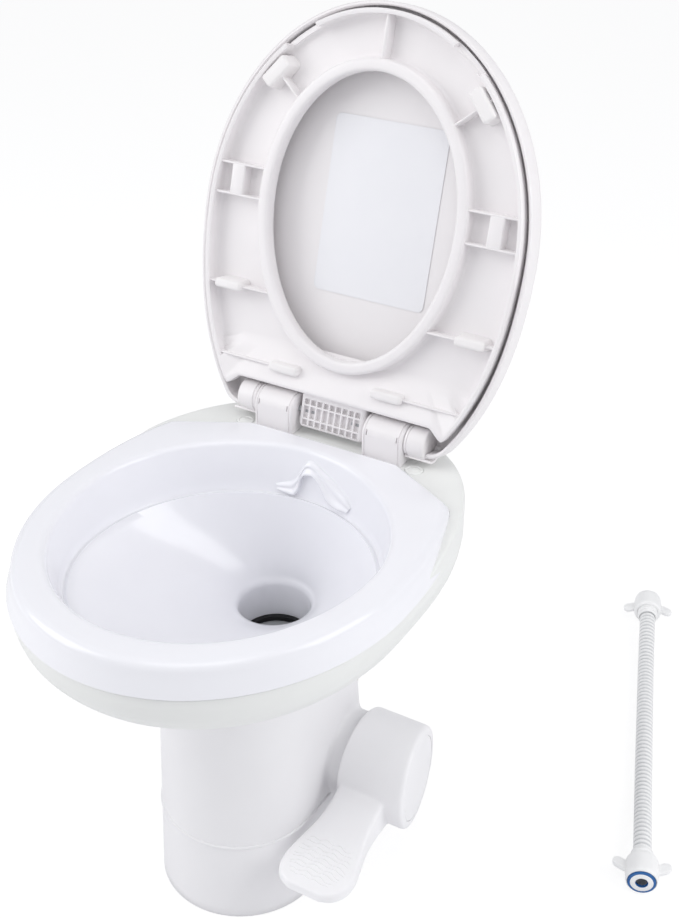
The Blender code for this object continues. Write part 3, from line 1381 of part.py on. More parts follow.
def make_seat():
    angles = ring_angles(cut_corner(SEAT, SEAT_FORWARD, SEAT_REAR))

    def outer(outset, up):
        return closed_ring(angles, SEAT, SEAT_FORWARD, outset, up, SEAT_REAR)

    def inner(outset, up):
        return closed_ring(angles, HOLE, HOLE_FORWARD, outset, up)

    under = SEAT_TOP - SEAT_SKIN
    rings = [
        outer(0.0, SEAT_FOOT),
        outer(0.0, SEAT_TOP - SEAT_EDGE),
        outer(-SEAT_SHOULDER, SEAT_TOP - SEAT_SKIN),
        outer(-SEAT_EDGE, SEAT_TOP),
        blend(outer(0.0, SEAT_TOP + SEAT_CROWN), inner(0.0, SEAT_TOP + SEAT_CROWN), 0.5),
        inner(HOLE_WALL, SEAT_TOP),
        inner(SEAT_SHOULDER, SEAT_TOP - SEAT_SKIN),
        inner(0.0, SEAT_TOP - SEAT_EDGE),
        inner(SEAT_SHOULDER / 2, SEAT_FOOT + SEAT_SHOULDER),
        inner(SEAT_SHOULDER * 3 / 2, SEAT_FOOT),
        inner(HOLE_WALL, SEAT_FOOT),
        inner(HOLE_WALL, under),
        outer(-SEAT_EDGE, under),
        outer(-SEAT_WALL - SEAT_SHOULDER / 2, SEAT_TOP - SEAT_EDGE),
        outer(-SEAT_WALL, SEAT_FOOT),
    ]
    seat = loft("seat", rings, "seat_white")
    block = box(
        "knuckle_block", (-KNUCKLE_HALF, -SEAT_REAR - SEAT_WALL + GAP, -KNUCKLE_DEEP),
        (KNUCKLE_HALF, KNUCKLE_BACK, KNUCKLE_DEEP),
    )
    join(seat, block)
    join(seat, *seat_ribs())
    for side in (-1, 1):
        low, high = (-NOTCH_LONG / 2, -NOTCH_DEEP), (NOTCH_LONG / 2, NOTCH_DEEP / 2)
        place, foot = seat_place(side, *NOTCH, NOTCH_TURN), SEAT_FOOT - OVERRUN
        cut(seat, slab(f"skirt_notch_{side}", flat_box(low, high), foot, NOTCH_TOP, matrix=place))
    cut(seat, lattice_cells())
    for side in (-1, 1):
        near, far = side * (PIN_IN_X - GAP), side * (KNUCKLE_HALF + OVERRUN)
        cut(seat, lying(f"knuckle_bore_{side}", HINGE_PIN_R + RUN, (0.0, 0.0), near, far))
    return seat


def make_bumpers():
    """Six pads under the seat, each straddling a rib."""
    pads = []
    for name, across, forward, long, wide, turn, start, end, crosswise in BUMPERS:
        for side, hand in ((-1, "left"), (1, "right")):
            place = seat_place(side, across, forward, turn)
            outline = rounded_rectangle(long, wide, BUMPER_CORNER, 2)
            lean = BUMPER_LEAN if crosswise else 0.0
            leaning = [(x, y + lean if y < 0 else y) for x, y in outline]
            levels = ((outline, BUMPER_FOOT), (outline, SEAT_TOP - SEAT_EDGE - OVERRUN), (leaning, PAD_TOP))
            rings = [[(x, y, z) for x, y in points] for points, z in levels]
            pad = loft(f"seat_bumper_{name}_{hand}", rings, "pad_white", capped=True, matrix=place)
            room = bumper_rib(side, start - OVERRUN, end + OVERRUN, RIB_THICK + 2 * GAP, crosswise)
            room = slab(f"{name}_rib_room_{side}", room, RIB_FOOT - 2 * GAP, SEAT_TOP, matrix=place)
            pads.append(cut(pad, room))
    return pads


def make_lid():
    angles = ring_angles(cut_corner(LID, LID_FORWARD, LID_REAR))

    def outline(outset, up):
        return closed_ring(angles, LID, LID_FORWARD, outset, up, LID_REAR)

    rings = [
        outline(-LID_WALL - LID_EDGE, LID_INNER),
        outline(-LID_WALL, LID_INNER - LID_EDGE),
        outline(-LID_WALL, LID_FOOT),
        outline(0.0, LID_FOOT),
        outline(0.0, LID_INNER - LID_EDGE),
        outline(-LID_EDGE / 3, LID_INNER - LID_EDGE / 3),
        outline(-LID_EDGE, LID_TOP - LID_CROWN),
        outline(-LID_EDGE * 4, LID_TOP),
    ]
    lid = loft("lid", rings, "seat_white", capped=True)
    reach = LID_KNUCKLE[1] + GAP
    low, high = (-reach, -POST_FRONT, LID_FOOT - OVERRUN), (reach, -LID_REAR + OVERRUN, LID_INNER)
    cut(lid, box("lid_rear_room", low, high))
    for side in (-1, 1):
        near, far = side * LID_KNUCKLE[0], side * LID_KNUCKLE[1]
        knuckle = lying(f"lid_knuckle_{side}", LID_KNUCKLE_R, (0.0, 0.0), near, far)
        low, high = sorted((near, far))
        web = box(f"lid_web_{side}", (low, -LID_KNUCKLE_R, 0.0), (high, -LID_REAR, LID_INNER + GAP))
        join(lid, join(knuckle, web))
        start, end = near - side * OVERRUN, side * (PIN_OUT_X + GAP)
        cut(lid, lying(f"lid_bore_{side}", HINGE_PIN_R + RUN, (0.0, 0.0), start, end))
    shape = rounded_rectangle(LABEL_WIDE, LABEL_LONG, LABEL_CORNER)
    high = LID_INNER - GAP
    place = Matrix.Translation((LABEL_ASIDE, -LABEL_FORWARD, 0.0))
    label = slab("lid_label", shape, high - LABEL_THICK, high, "label_white", place)
    return lid, label


# Pedal


def slant(piece):
    """Stretches the drum's shapes along X so that their outer face leans, further out towards the front."""
    for vertex in piece.data.vertices:
        lean = 1 - HUB_SLANT * (vertex.co.y - HUB_Y) / (HUB_OUT_X - HUB_IN_X)
        vertex.co.x = HUB_IN_X + (vertex.co.x - HUB_IN_X) * lean
    return piece


def make_drum():
    out = HUB_OUT_X - HUB_IN_X
    steps = 4
    fillet = []
    for k in range(steps + 1):
        turn = math.pi / 2 * k / steps
        fillet.append((HUB_R - HUB_ROUND * (1 - math.cos(turn)), out - HUB_ROUND * (1 - math.sin(turn))))
    well = PIVOT_HEAD_R + RUN
    floor = out - COVER_DEEP
    under = floor - HUB_FACE
    inner = BOSS_R + RUN
    profile = [
        (inner, 0.0),
        (HUB_R - GAP * 2, 0.0),
        (HUB_R, GAP * 2),
        *fillet,
        (COVER_R + GAP, out),
        (COVER_R + GAP, floor),
        (well, floor),
        (well, floor - HEAD_WELL),
        (SLEEVE_R, floor - HEAD_WELL),
        (SLEEVE_R, SLEEVE_IN_X - HUB_IN_X),
        (SLEEVE_R + SLEEVE_WALL, SLEEVE_IN_X - HUB_IN_X),
        (SLEEVE_R + SLEEVE_WALL, floor - HEAD_WELL - HUB_FACE),
        (well + SLEEVE_WALL, floor - HEAD_WELL - HUB_FACE),
        (well + SLEEVE_WALL, under),
        (HUB_R - HUB_WALL, under),
        (HUB_R - HUB_WALL, HUB_LIP),
        (inner, HUB_LIP),
    ]
    return slant(turned("pedal", profile, (HUB_IN_X, *HUB), (1, 0, 0), "pedal_white", DRUM_SIDES))


def arm_section(ahead, middle, half, top, foot):
    """One section of the arm across X: flat underneath, with rounded upper edges."""
    edge = min(ARM_EDGE, (top - foot) / 3, half / 3)
    wide = edge * 3 / 2
    y = HUB_Y - ahead
    left, right = middle - half, middle + half
    return [
        (left, y, foot + edge), (left, y, top - wide), (left + edge / 2, y, top - edge / 2),
        (left + wide, y, top), (middle, y, top + edge * CROWN_SHARE),
        (right - wide, y, top), (right - edge / 2, y, top - edge / 2), (right, y, top - wide),
        (right, y, foot + edge), (right - edge, y, foot), (middle, y, foot), (left + edge, y, foot),
    ]


def arm_top(ahead):
    """The height of the tread's top at a distance ahead of the hub."""
    for (near, *_, low_top, _), (far, *_, high_top, _) in zip(ARM_STATIONS, ARM_STATIONS[1:]):
        if near <= ahead <= far:
            return low_top + (high_top - low_top) * (ahead - near) / (far - near)
    return ARM_STATIONS[-1][3]


def make_pedal():
    drum = make_drum()
    arm = loft("pedal_arm", [arm_section(*station) for station in ARM_STATIONS], capped=True)
    radius = HUB_R - HUB_WALL / 2
    cut(arm, lying("arm_room", radius, HUB, HUB_IN_X - OVERRUN, HUB_OUT_X, sides=ROUND_SIDES))
    join(drum, arm)
    middle = ARM_STATIONS[5][1]
    for k in range(TREAD_RIBS):
        y = HUB_Y - TREAD_FROM - k * TREAD_PITCH
        top = arm_top(HUB_Y - y)
        half = TREAD_HALF * (1 - TREAD_TAPER_SHARE * (2 * k / (TREAD_RIBS - 1) - 1) ** 2)
        low = (middle - half, y - TREAD_WIDE / 2, top - TREAD_WIDE)
        high = (middle + half, y + TREAD_WIDE / 2, top + TREAD_PROUD + ARM_EDGE * CROWN_SHARE)
        join(drum, box(f"tread_rib_{k}", low, high))
    return drum


def make_cover():
    out = HUB_OUT_X - HUB_IN_X
    low, high = out - COVER_DEEP + GAP, out
    edge = 2 * GAP
    profile = [(0.0, low), (0.0, high), (COVER_R - edge, high), (COVER_R, high - edge), (COVER_R, low)]
    return slant(turned("pedal_cover", profile, (HUB_IN_X, *HUB), (1, 0, 0), "pedal_white", DRUM_SIDES))


def make_pivot():
    """The shoulder bolt that the drum turns on, and its nut behind the boss's end."""
    out = HUB_OUT_X - COVER_DEEP - HEAD_WELL
    head_x = out + HUB_SLANT * PIVOT_HEAD_R + RUN
    end_x = BOSS_OUT_X - BOSS_WALL - GAP - PIVOT_NUT
    head_end = head_x + PIVOT_HEAD
    bolt = lying("pedal_pivot_bolt", PIVOT_R, HUB, end_x, head_end - PIVOT_HEAD / 2, "steel", ROUND_SIDES)
    join(bolt, lying("pivot_head", PIVOT_HEAD_R, HUB, head_x, head_end, sides=ROUND_SIDES))
    nut_x = BOSS_OUT_X - BOSS_WALL - GAP
    nut = lying("pedal_pivot_nut", PIVOT_NUT_R, HUB, nut_x - PIVOT_NUT, nut_x, "steel", 6)
    start, end = nut_x - PIVOT_NUT - OVERRUN, nut_x + OVERRUN
    cut(nut, lying("pivot_nut_bore", PIVOT_R + GAP, HUB, start, end))


def make_spring():
    points = []
    for k in range(SPRING_TURNS * TURN_POINTS + 1):
        turn = 2 * math.pi * k / TURN_POINTS
        across, up = gear_point(SPRING_R, turn)
        points.append((SPRING_X + SPRING_PITCH * k / TURN_POINTS, HUB_Y + across, HUB_Z + up))
    least = SPRING_PITCH - 2 * SPRING_WIRE_R
    print(f"return spring: least gap between turns {least * 1000:.2f} mm")
    return tube("return_spring", points, SPRING_WIRE_R, "steel", resolution=1)


# Supply hose


def hose_points():
    """The hose's middle line: level with its nuts at both ends, and down on the floor between them."""
    high, low = HOSE_NUT_R + GAP, HOSE_R + GAP
    count = len(HOSE_ROUTE)
    route = []
    for k, (x, y) in enumerate(HOSE_ROUTE):
        off = min(k, count - 1 - k)
        share = min(max((off - 3) / 4, 0.0), 1.0)
        share = share * share * (3 - 2 * share)
        route.append((x, BOWL_Y + y, high + (low - high) * share))
    return route


def make_hose():
    route = [Vector(point) for point in hose_points()]
    fine = smooth_route(route, HOSE_R / 4)
    total = sum((b - a).length for a, b in zip(fine, fine[1:]))
    print(f"supply hose: {total * 1000:.0f} mm from washer to washer")
    for name, line in (("near", fine), ("far", fine[::-1])):
        place = line[0]
        axis = (line[3] - line[0]).normalized()
        make_hose_end(name, place, axis)
    margin = WASHER_THICK / 2 + HOSE_NUT_LONG + HOSE_TAIL_LONG - HOSE_TAIL_OVER + GAP
    inner = trimmed(fine, margin)
    length = sum((b - a).length for a, b in zip(inner, inner[1:]))
    straight = 2 * HOSE_R
    pitch = (length - 2 * straight) / HOSE_RIBS
    stops, radii = [0.0], [HOSE_GROOVE_R]
    for k in range(HOSE_RIBS):
        start = straight + k * pitch
        stops += [start + pitch * share for share in RIB_SHARES]
        radii += [HOSE_R, HOSE_GROOVE_R]
    stops.append(length)
    radii.append(HOSE_GROOVE_R)
    points = read_along(inner, stops)
    hose = tube("supply_hose", points, 1.0, "hose_white", resolution=2, radii=radii)
    bore_line = read_along(inner, [length * k / BORE_POINTS for k in range(BORE_POINTS + 1)])
    first, last = bore_line[0], bore_line[-1]
    bore_line[0] = first + (first - bore_line[1]).normalized() * OVERRUN
    bore_line[-1] = last + (last - bore_line[-2]).normalized() * OVERRUN
    bore = tube("hose_bore", bore_line, HOSE_BORE_R, None, resolution=1)
    return cut(hose, bore)


def trimmed(line, margin):
    total = sum((b - a).length for a, b in zip(line, line[1:]))
    count = len(line)
    return read_along(line, [margin + (total - 2 * margin) * k / (count - 1) for k in range(count)])


def read_along(line, stops):
    """The points at these distances along a line of points."""
    lengths = [0.0]
    for a, b in zip(line, line[1:]):
        lengths.append(lengths[-1] + (b - a).length)
    points = []
    k = 0
    for stop in stops:
        while k < len(lengths) - 2 and lengths[k + 1] < stop:
            k += 1
        share = (stop - lengths[k]) / (lengths[k + 1] - lengths[k])
        points.append(line[k].lerp(line[k + 1], share))
    return points


def make_hose_end(name, place, axis):
    """A wing nut on a barbed tail, with its washer standing a little out of the open end."""
    nut_start = WASHER_THICK / 2
    nut_end = nut_start + HOSE_NUT_LONG
    chamfer = HOSE_NUT_WALL
    room = HOSE_NUT_R - chamfer
    neck = HOSE_TAIL_R + GAP
    nut_profile = [
        (room, nut_start), (HOSE_NUT_R - chamfer / 2, nut_start), (HOSE_NUT_R, nut_start + chamfer),
        (HOSE_NUT_R, nut_end - chamfer), (HOSE_NUT_R - chamfer, nut_end),
        (neck, nut_end), (neck, nut_end - 2 * chamfer), (room, nut_end - 3 * chamfer),
    ]
    nut = turned(f"hose_nut_{name}", nut_profile, place, axis, "hose_white", SMALL_SIDES)
    across = Vector((axis.y, -axis.x, 0.0)).normalized()
    for side in (-1, 1):
        flat = []
        for level in (-WING_THICK / 2, WING_THICK / 2):
            middle = place + Vector((0.0, 0.0, level))
            flat.append([middle + across * wide + axis * ahead for wide, ahead in wing_outline(side)])
        join(nut, loft(f"wing_{name}_{side}", flat, capped=True))
    bore, step = HOSE_BORE_R - 2 * GAP, HOSE_TAIL_R - HOSE_TAIL_STEP
    flange, face = room - GAP * 2, WASHER_THICK + GAP
    middle, tail_end = nut_end + HOSE_TAIL_LONG / 2, nut_end + HOSE_TAIL_LONG
    stop = tail_end - HOSE_TAIL_OVER - GAP
    tail_profile = [
        (bore, face), (flange, face), (flange, WASHER_THICK + 3 * chamfer / 2),
        (HOSE_TAIL_R, WASHER_THICK + 3 * chamfer), (HOSE_TAIL_R, middle), (step, middle), (step, tail_end),
        (HOSE_R + GAP, tail_end), (HOSE_R + GAP, stop), (bore, stop),
    ]
    turned(f"hose_tail_{name}", tail_profile, place, axis, "hose_white", FITTING_SIDES)
    small, edge = WASHER_R - WASHER_STEP, nut_start + GAP
    washer = [
        (HOSE_BORE_R, 0.0), (small, 0.0), (small, edge), (room - GAP, edge), (room - GAP, WASHER_THICK),
        (HOSE_BORE_R, WASHER_THICK),
    ]
    turned(f"hose_washer_{name}", washer, place, axis, "rubber_blue", FITTING_SIDES)


def wing_outline(side):
    """One ear of the nut, in its level plane: swept back towards the hose, with a round end."""
    base = HOSE_NUT_R - 2 * HOSE_NUT_WALL
    middle = WING_START + WING_SWEEP
    points = [(base, WING_START)]
    steps = 6
    for k in range(steps + 1):
        turn = -math.pi / 2 + math.pi * k / steps
        across = WING_SPAN - WING_ROUND[0] * (1 - math.cos(turn))
        points.append((across, middle + WING_ROUND[1] * math.sin(turn)))
    points.append((base, WING_START + WING_LONG))
    return [(side * across, ahead) for across, ahead in points]


# The whole toilet


def build():
    make_bowl()
    make_nozzle()
    make_shell()
    make_plugs()
    make_pedestal()
    make_base()
    make_base_fasteners()
    make_floor_seal()
    make_throat_seal()
    make_throat_clamp()
    make_housing()
    blade = make_blade()
    drive, _ = make_shafts()
    make_bushes()
    pinion = make_pinion()
    gear = make_ring_gear()
    cam = make_cam()
    _, plunger = make_water_valve()
    make_flush_line()
    make_posts()
    seat = make_seat()
    pads = make_bumpers()
    lid, label = make_lid()
    pedal = make_pedal()
    cover = make_cover()
    make_pivot()
    make_spring()
    make_hose()

    hinge = (0.0, HINGE_Y, HINGE_Z)
    hang(axis_empty("seat_hinge_axis", hinge, (-OPEN_ANGLE, 0.0, 0.0)), seat, *pads)
    hang(axis_empty("lid_hinge_axis", hinge, (-OPEN_ANGLE, 0.0, 0.0)), lid, label)
    carry(axis_empty("pedal_axis", (0.0, HUB_Y, HUB_Z)), pedal, cover, gear)
    carry(axis_empty("valve_axis", (0.0, SHAFT_Y, SHAFT_Z)), blade, drive, pinion, cam)
    carry(axis_empty("plunger_axis", (WATER_X, SHAFT_Y, SHAFT_Z)), plunger)


def carry(parent, *pieces):
    """Parents pieces that already lie in their place, with whatever cuts or joins them."""
    hang(parent, *pieces)
    for thing in bpy.data.objects:
        if thing.parent is parent:
            thing.matrix_parent_inverse = Matrix.Translation(parent.location).inverted()


clear_scene()
TOILET = collection("caravan_toilet")
CUTTERS = collection("toilet_cutters")
build()
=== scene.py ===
"""The looks of a pedal-flush caravan toilet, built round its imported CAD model.

Metres, +Z up, +X to the pedal's side, the user sits facing -Y. The main lengths are the CAD part's.
"""

import math
from collections import namedtuple

import bmesh
import bpy
from mathutils import Matrix, Vector


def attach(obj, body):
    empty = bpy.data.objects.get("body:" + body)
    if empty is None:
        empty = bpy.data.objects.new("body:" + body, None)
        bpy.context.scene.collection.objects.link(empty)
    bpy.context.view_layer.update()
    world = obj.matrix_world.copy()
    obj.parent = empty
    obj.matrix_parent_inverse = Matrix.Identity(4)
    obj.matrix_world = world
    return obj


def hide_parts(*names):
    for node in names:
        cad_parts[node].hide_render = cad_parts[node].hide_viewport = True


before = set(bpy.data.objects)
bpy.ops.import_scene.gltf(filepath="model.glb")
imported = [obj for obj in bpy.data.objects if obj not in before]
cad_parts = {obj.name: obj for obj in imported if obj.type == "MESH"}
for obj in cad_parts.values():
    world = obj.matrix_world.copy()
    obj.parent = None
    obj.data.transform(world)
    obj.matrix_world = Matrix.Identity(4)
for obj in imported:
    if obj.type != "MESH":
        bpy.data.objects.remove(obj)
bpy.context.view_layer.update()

Plan = namedtuple("Plan", "half front rear front_power rear_power")
GAP = 0.0003
MM = 0.001
AXIS_R = 1e-5  # how near to its axis a lathe's profile starts
SIDES = ((-1, "left"), (1, "right"))

# The camera stands in front and to the right of the toilet, a little above its open lid
CAMERA_AT = Vector((0.6148, -0.9043, 1.1163))
CAMERA_BACK = Vector((0.4323, -0.7395, 0.5159))
CAMERA_RIGHT = Vector((0.8633, 0.5047, 0.0))
CAMERA_LENS = 54.68
SENSOR = 36.0

# Light and floor
LAMP_AIM = Vector((0.0, 0.0, 0.35))
LAMPS = (  # name, place, width and height, watts
    ("window_lamp", (-1.9, -1.4, 1.7), (1.8, 2.2), 28.0),
    ("fill_lamp", (2.1, 0.3, 1.5), (1.4, 1.8), 20.0),
    ("top_lamp", (0.3, -0.8, 2.8), (1.6, 1.6), 10.0),
)
ROOM_STRENGTH = 0.61
WHITE = (1.0, 1.0, 1.0, 1.0)
FLOOR_HALF = 6.0
FLOOR_GLOW = 1.12
FLOOR_GLOW_SHARE = 0.72

# Bowl and shell
BOWL_Y = -0.0549
RIM_Z = 0.4193
RIM = Plan(0.180, 0.2047, 0.2464, 2.0, 2.32)
RIM_HOLE = Plan(0.1502, 0.1707, 0.1484, 2.0, 1.9)
RIM_ROUND = 0.006
RIM_SHOULDER = 0.010
RIM_FLARE = 0.006
RIM_FOOT_Z = 0.3893
RIM_SIDE_CUT = (0.157, 0.1326)
RIM_REAR_CUT = (0.083, 0.1726)
NO_CUT = 9.0  # further out than any outline
BOWL_WALL = 0.004
STEP_PLAN = Plan(0.1448, 0.1428, 0.1538, 2.0, 2.0)
STEP_BACK = -0.0117
STEP_Z = 0.3698
STEP_LEDGE = 0.006
STEP_FALL = 0.0012
STEP_SECTION_MM = ((-0.2, 1.2), (-0.8, -1.6), (-1.8, -2.7), (-3.0, -2.6), (-4.4, -1.6), (-5.2, -1.3))
FUNNEL_SHARES = ((0.0, 0.0), (0.3, 0.35), (0.6, 0.62), (0.85, 0.84), (1.0, 1.0))  # inwards, down
THROAT_R = 0.0356
THROAT_BACK = 0.0752
THROAT_Z = 0.2823
THROAT_FOOT_Z = 0.2428
THROAT_ROUND = 0.004
SPOUT_TOP_Z = RIM_Z - 0.0085
SPOUT_STATIONS_MM = (  # outer and inner edge on the wall, each across and below the top; share of the height
    ((-36, -33), (-33, -40), 0.35), ((-27, -30), (-22, -41), 0.75), ((-19, -26.5), (-13.5, -40.5), 0.95),
    ((-12, -18), (-9.5, -31), 1.0), ((-7.5, -8.5), (-8, -22), 1.0), ((-4, -3), (-4.5, -17.5), 1.0),
    ((0.5, -1), (1, -16), 1.0), ((6, -2.5), (6.5, -16.5), 1.0), ((14, -7), (12, -21), 1.0),
    ((22, -10.5), (17, -28), 1.0), ((31, -14.5), (21.5, -35), 1.0), ((40, -19), (28, -38.5), 1.0),
    ((48, -23.5), (37, -39.5), 0.9), ((54, -29.5), (48, -38), 0.5),
)
SPOUT_SECTION = (  # share of the way from the outer edge to the inner, height in millimetres
    (0, 0), (0.12, 2.6), (0.3, 3.9), (0.5, 3.3), (0.74, 6.0), (0.93, 5.2), (1, 0),
)
SHELL = Plan(0.186, 0.2107, 0.250, 2.0, 2.6)
SHELL_INSET = 0.0025
SHELL_WALL = 0.004
SHELL_TOP_Z = 0.3890
SHELL_SHARES = ((0, 0), (0.0, 0.13), (0.05, 0.36), (0.21, 0.62), (0.53, 0.84), (1, 1))  # inwards, down
CREVICE_DEEP = 0.0020
CREVICE_TALL = 0.0016
CHEEK_TURNS = (-2.0, 38.0)  # degrees behind the side where it starts, and where it has its height
DECK_TOP_Z = 0.4128
DECK_ROUND = 0.0055
PLUG_X = 0.0975
PLUG_Y = 0.1231
PLUG_R = 0.0090

# Pedestal
PEDESTAL_R = 0.0847
DRAFT = math.tan(math.radians(2.5))
PEDESTAL_NOSE = 0.0045
PEDESTAL_REAR = 0.1596
PEDESTAL_CORNER = 0.060
PEDESTAL_MIDDLE = 0.050
PEDESTAL_TOP_Z = 0.2997
SPLIT_Z = 0.094
PEDESTAL_WALL = 0.004
SPLIT_BEAD = (  # out, and up from the split line
    (0.0, -0.0030), (0.0009, -0.0024), (0.0014, -0.0014),
    (0.0013, -0.0003), (0.0006, 0.0006), (-0.001, 0.0011),
)
SLEEVE_IN = 0.0043
SLEEVE_TALL = 0.012
OUTLET_ROOM_R = 0.0565
BASE_SKIN = 0.008

# Hinge, with the closed seat and lid measured from it
HINGE_Y = 0.1378
HINGE_Z = 0.4362
OPEN_ANGLE = math.radians(106.2)
OPENED = Matrix.Translation((0.0, HINGE_Y, HINGE_Z)) @ Matrix.Rotation(-OPEN_ANGLE, 4, "X")
POST_IN_X = 0.040
POST_OUT_X = 0.084
POST_R = 0.016
POST_FRONT = 0.0175
POST_REAR = 0.0098
POST_END = (  # in from a post's end, and how much smaller the post is there
    (0.0, 0.0016), (0.0010, 0.0004), (0.0026, 0.0002), (0.0030, 0.0010), (0.0036, 0.0010), (0.0042, 0.0),
)
POST_SLOT_IN = 0.0055
POST_SLOT_HALF = 0.0007
SEAT = Plan(0.168, 0.207, 0.240, 2.0, 2.2)
SEAT_FORWARD = 0.183
SEAT_REAR = 0.0195
SEAT_TONGUE = (0.1075, 0.0115, 0.005)  # how far across it starts, how long and how round it is
SEAT_SLOPE = 0.034
SEAT_CROWN = 0.0007
HOLE = Plan(0.1001, 0.1307, 0.1439, 2.0, 2.0)
HOLE_FORWARD = 0.2037
SEAT_FOOT = -0.014
SEAT_TOP = 0.0060
SEAT_SKIN = 0.004
SEAT_EDGE = 0.010
SEAT_WALL = 0.0045
HOLE_WALL = 0.012
NOTCH_AT = (0.088, -0.358)
NOTCH_TURN = math.radians(36)
NOTCH_HALF = 0.0185
RIB_FOOT = -0.0115
RIB_THICK = 0.0022
RIB_OUT_X = 0.1642
KNUCKLE_HALF = 0.036
KNUCKLE_DEEP = 0.0078
KNUCKLE_BACK = 0.0165
KNUCKLE_END = ((0.0, 0.0035), (0.0008, 0.0016), (0.0024, 0.0003), (0.004, 0.0))  # as POST_END
LATTICE_COLUMNS = 9
LATTICE_ROWS = (0.24, 0.52, 0.24)  # shares of the height
LATTICE_WALL = 0.0015
LATTICE_DEEP = 0.0042
LATTICE_MARGIN = 0.0042
LATTICE_EDGE = 0.0030
LID = Plan(0.1756, 0.2141, 0.2493, 2.0, 2.2)
LID_FORWARD = 0.1828
LID_REAR = -0.012
LID_FOOT = -0.008
LID_INNER = 0.0175
LID_TOP = 0.0210
LID_WALL = 0.004
LID_KNUCKLE = (0.0845, 0.1065)
LID_KNUCKLE_R = 0.0155
LID_LIP_R = (0.0176, 0.0152)
BUMPER_FOOT = -0.0165
BUMPERS = (  # name, across, forward, length, width, turn, and where its rib starts and ends
    ("front", 0.1081, 0.3198, 0.033, 0.015, math.radians(-50), (-0.0089, 0.0375)),
    ("side", 0.134, 0.108, 0.031, 0.010, 0.0, (-0.0505, 0.0242)),
    ("rear", 0.058, 0.038, 0.034, 0.010, 0.0, (-0.0060, 0.0780)),
)

# Pedal
HUB = Vector((0.0, 0.0302, 0.1186))
HUB_IN_X = 0.095
HUB_OUT_X = 0.1605
HUB_R = 0.0525
HUB_SLANT = 0.169
HUB_ROUND = 0.006
HUB_WALL = 0.0035
HUB_BOLT_BORE_R = 0.0043
HUB_BOLT_BOSS_R = 0.0125
COVER_DEEP = 0.003
COVER_NOTCH_R = 0.0016
COVER_R = 0.043
BOSS_R = 0.044
BOSS_OUT_X = 0.0985
BOSS_IN_R = BOSS_R - 0.006
BOSS_SECTION = (  # radius, how far from the pedestal's face, how far back from the boss's end
    (BOSS_R + 0.0085, -0.0004, None), (BOSS_R + 0.0055, 0.0001, None), (BOSS_R + 0.0030, 0.0009, None),
    (BOSS_R + 0.0013, 0.0022, None), (BOSS_R + 0.0003, 0.0045, None), (BOSS_R, None, 0.0014),
    (BOSS_R - 0.0004, None, 0.0004), (BOSS_R - 0.0014, None, 0.0), (BOSS_IN_R, None, 0.0),
    (BOSS_IN_R, -0.004, None),
)
ARM_STATIONS = (  # forward of the hub, middle across, half width, top, foot
    (0.020, 0.1245, 0.0255, 0.1400, 0.0900),
    (0.046, 0.1240, 0.0255, 0.1290, 0.0855),
    (0.066, 0.1230, 0.0258, 0.1160, 0.0830),
    (0.086, 0.1215, 0.0282, 0.1055, 0.0800),
    (0.104, 0.1205, 0.0330, 0.0985, 0.0765),
    (0.122, 0.1205, 0.0370, 0.0945, 0.0760),
    (0.138, 0.1205, 0.0370, 0.0925, 0.0770),
    (0.150, 0.1200, 0.0310, 0.0905, 0.0775),
    (0.157, 0.1200, 0.0190, 0.0885, 0.0785),
)
TREAD_X = 0.1203
TREAD_HALF = 0.029
TREAD_FROM = 0.103
TREAD_PITCH = 0.0047
TREAD_RIDGES = 10

# Hose, loose on the floor: across, and behind the middle of the rim
HOSE_ROUTE = (
    (0.3790, 0.1616), (0.3752, 0.1727), (0.3700, 0.1879), (0.3640, 0.2054), (0.3560, 0.2289),
    (0.3465, 0.2569), (0.3365, 0.2864), (0.3260, 0.3171), (0.3150, 0.3491), (0.3040, 0.3812),
    (0.2930, 0.4133), (0.2820, 0.4454), (0.2715, 0.4761), (0.2615, 0.5054), (0.2520, 0.5331),
    (0.2430, 0.5594), (0.2360, 0.5799), (0.2300, 0.5974), (0.2248, 0.6126), (0.2210, 0.6237),
)
HOSE_R = 0.0097
HOSE_GROOVE_R = 0.0077
HOSE_END = 0.0343  # from a washer's face to the end of the ribbed tube
HOSE_PITCH = 0.0062
RINGS_PER_RIB = 8
HOSE_SIDES = 24
HOSE_NUT_R = 0.0170
HOSE_NUT_LONG = 0.028
HOSE_NUT_WALL = 0.002
WING_OUTLINE = (  # out from the nut's axis, and back from the washer's face
    (0.012, 0.0105), (0.0205, 0.0150), (0.0262, 0.0176), (0.0300, 0.0212), (0.0305, 0.0248),
    (0.0297, 0.0282), (0.0266, 0.0304), (0.0230, 0.0300), (0.0200, 0.0282), (0.0180, 0.0266),
    (0.012, 0.0262),
)
WING_MIDDLE = Vector((0.0215, 0.0215))
WASHER_BORE_R = 0.0062
WASHER_THICK = 0.003
HOSE_TAIL_R = 0.0128
HOSE_TAIL_LONG = 0.011


# Materials


def linear(shade):
    """An sRGB hex colour as linear RGBA."""
    parts = [int(shade[k:k + 2], 16) / 255 for k in (1, 3, 5)]
    return (*((c / 12.92 if c <= 0.04045 else ((c + 0.055) / 1.055) ** 2.4) for c in parts), 1.0)


def add(tree, kind, settings, links=()):
    """A node with its settings, by socket or property name, and what feeds its sockets."""
    node = tree.nodes.new("ShaderNode" + kind)
    for name, value in settings.items():
        if isinstance(name, int) or name in node.inputs:
            node.inputs[name].default_value = value
        else:
            setattr(node, name, value)
    for socket, source in dict(links).items():
        tree.links.new(source, node.inputs[socket])
    return node


def noise(tree, where, size_mm, detail):
    """A noise with patches about this many millimetres wide."""
    settings = {"Scale": 1000 / size_mm, "Detail": detail}
    return add(tree, "TexNoise", settings, {"Vector": where}).outputs["Fac"]


def two_tone(tree, shade, deeper, share):
    settings = {"data_type": "RGBA", 6: linear(shade), 7: linear(deeper)}
    return add(tree, "Mix", settings, {0: share}).outputs[2]


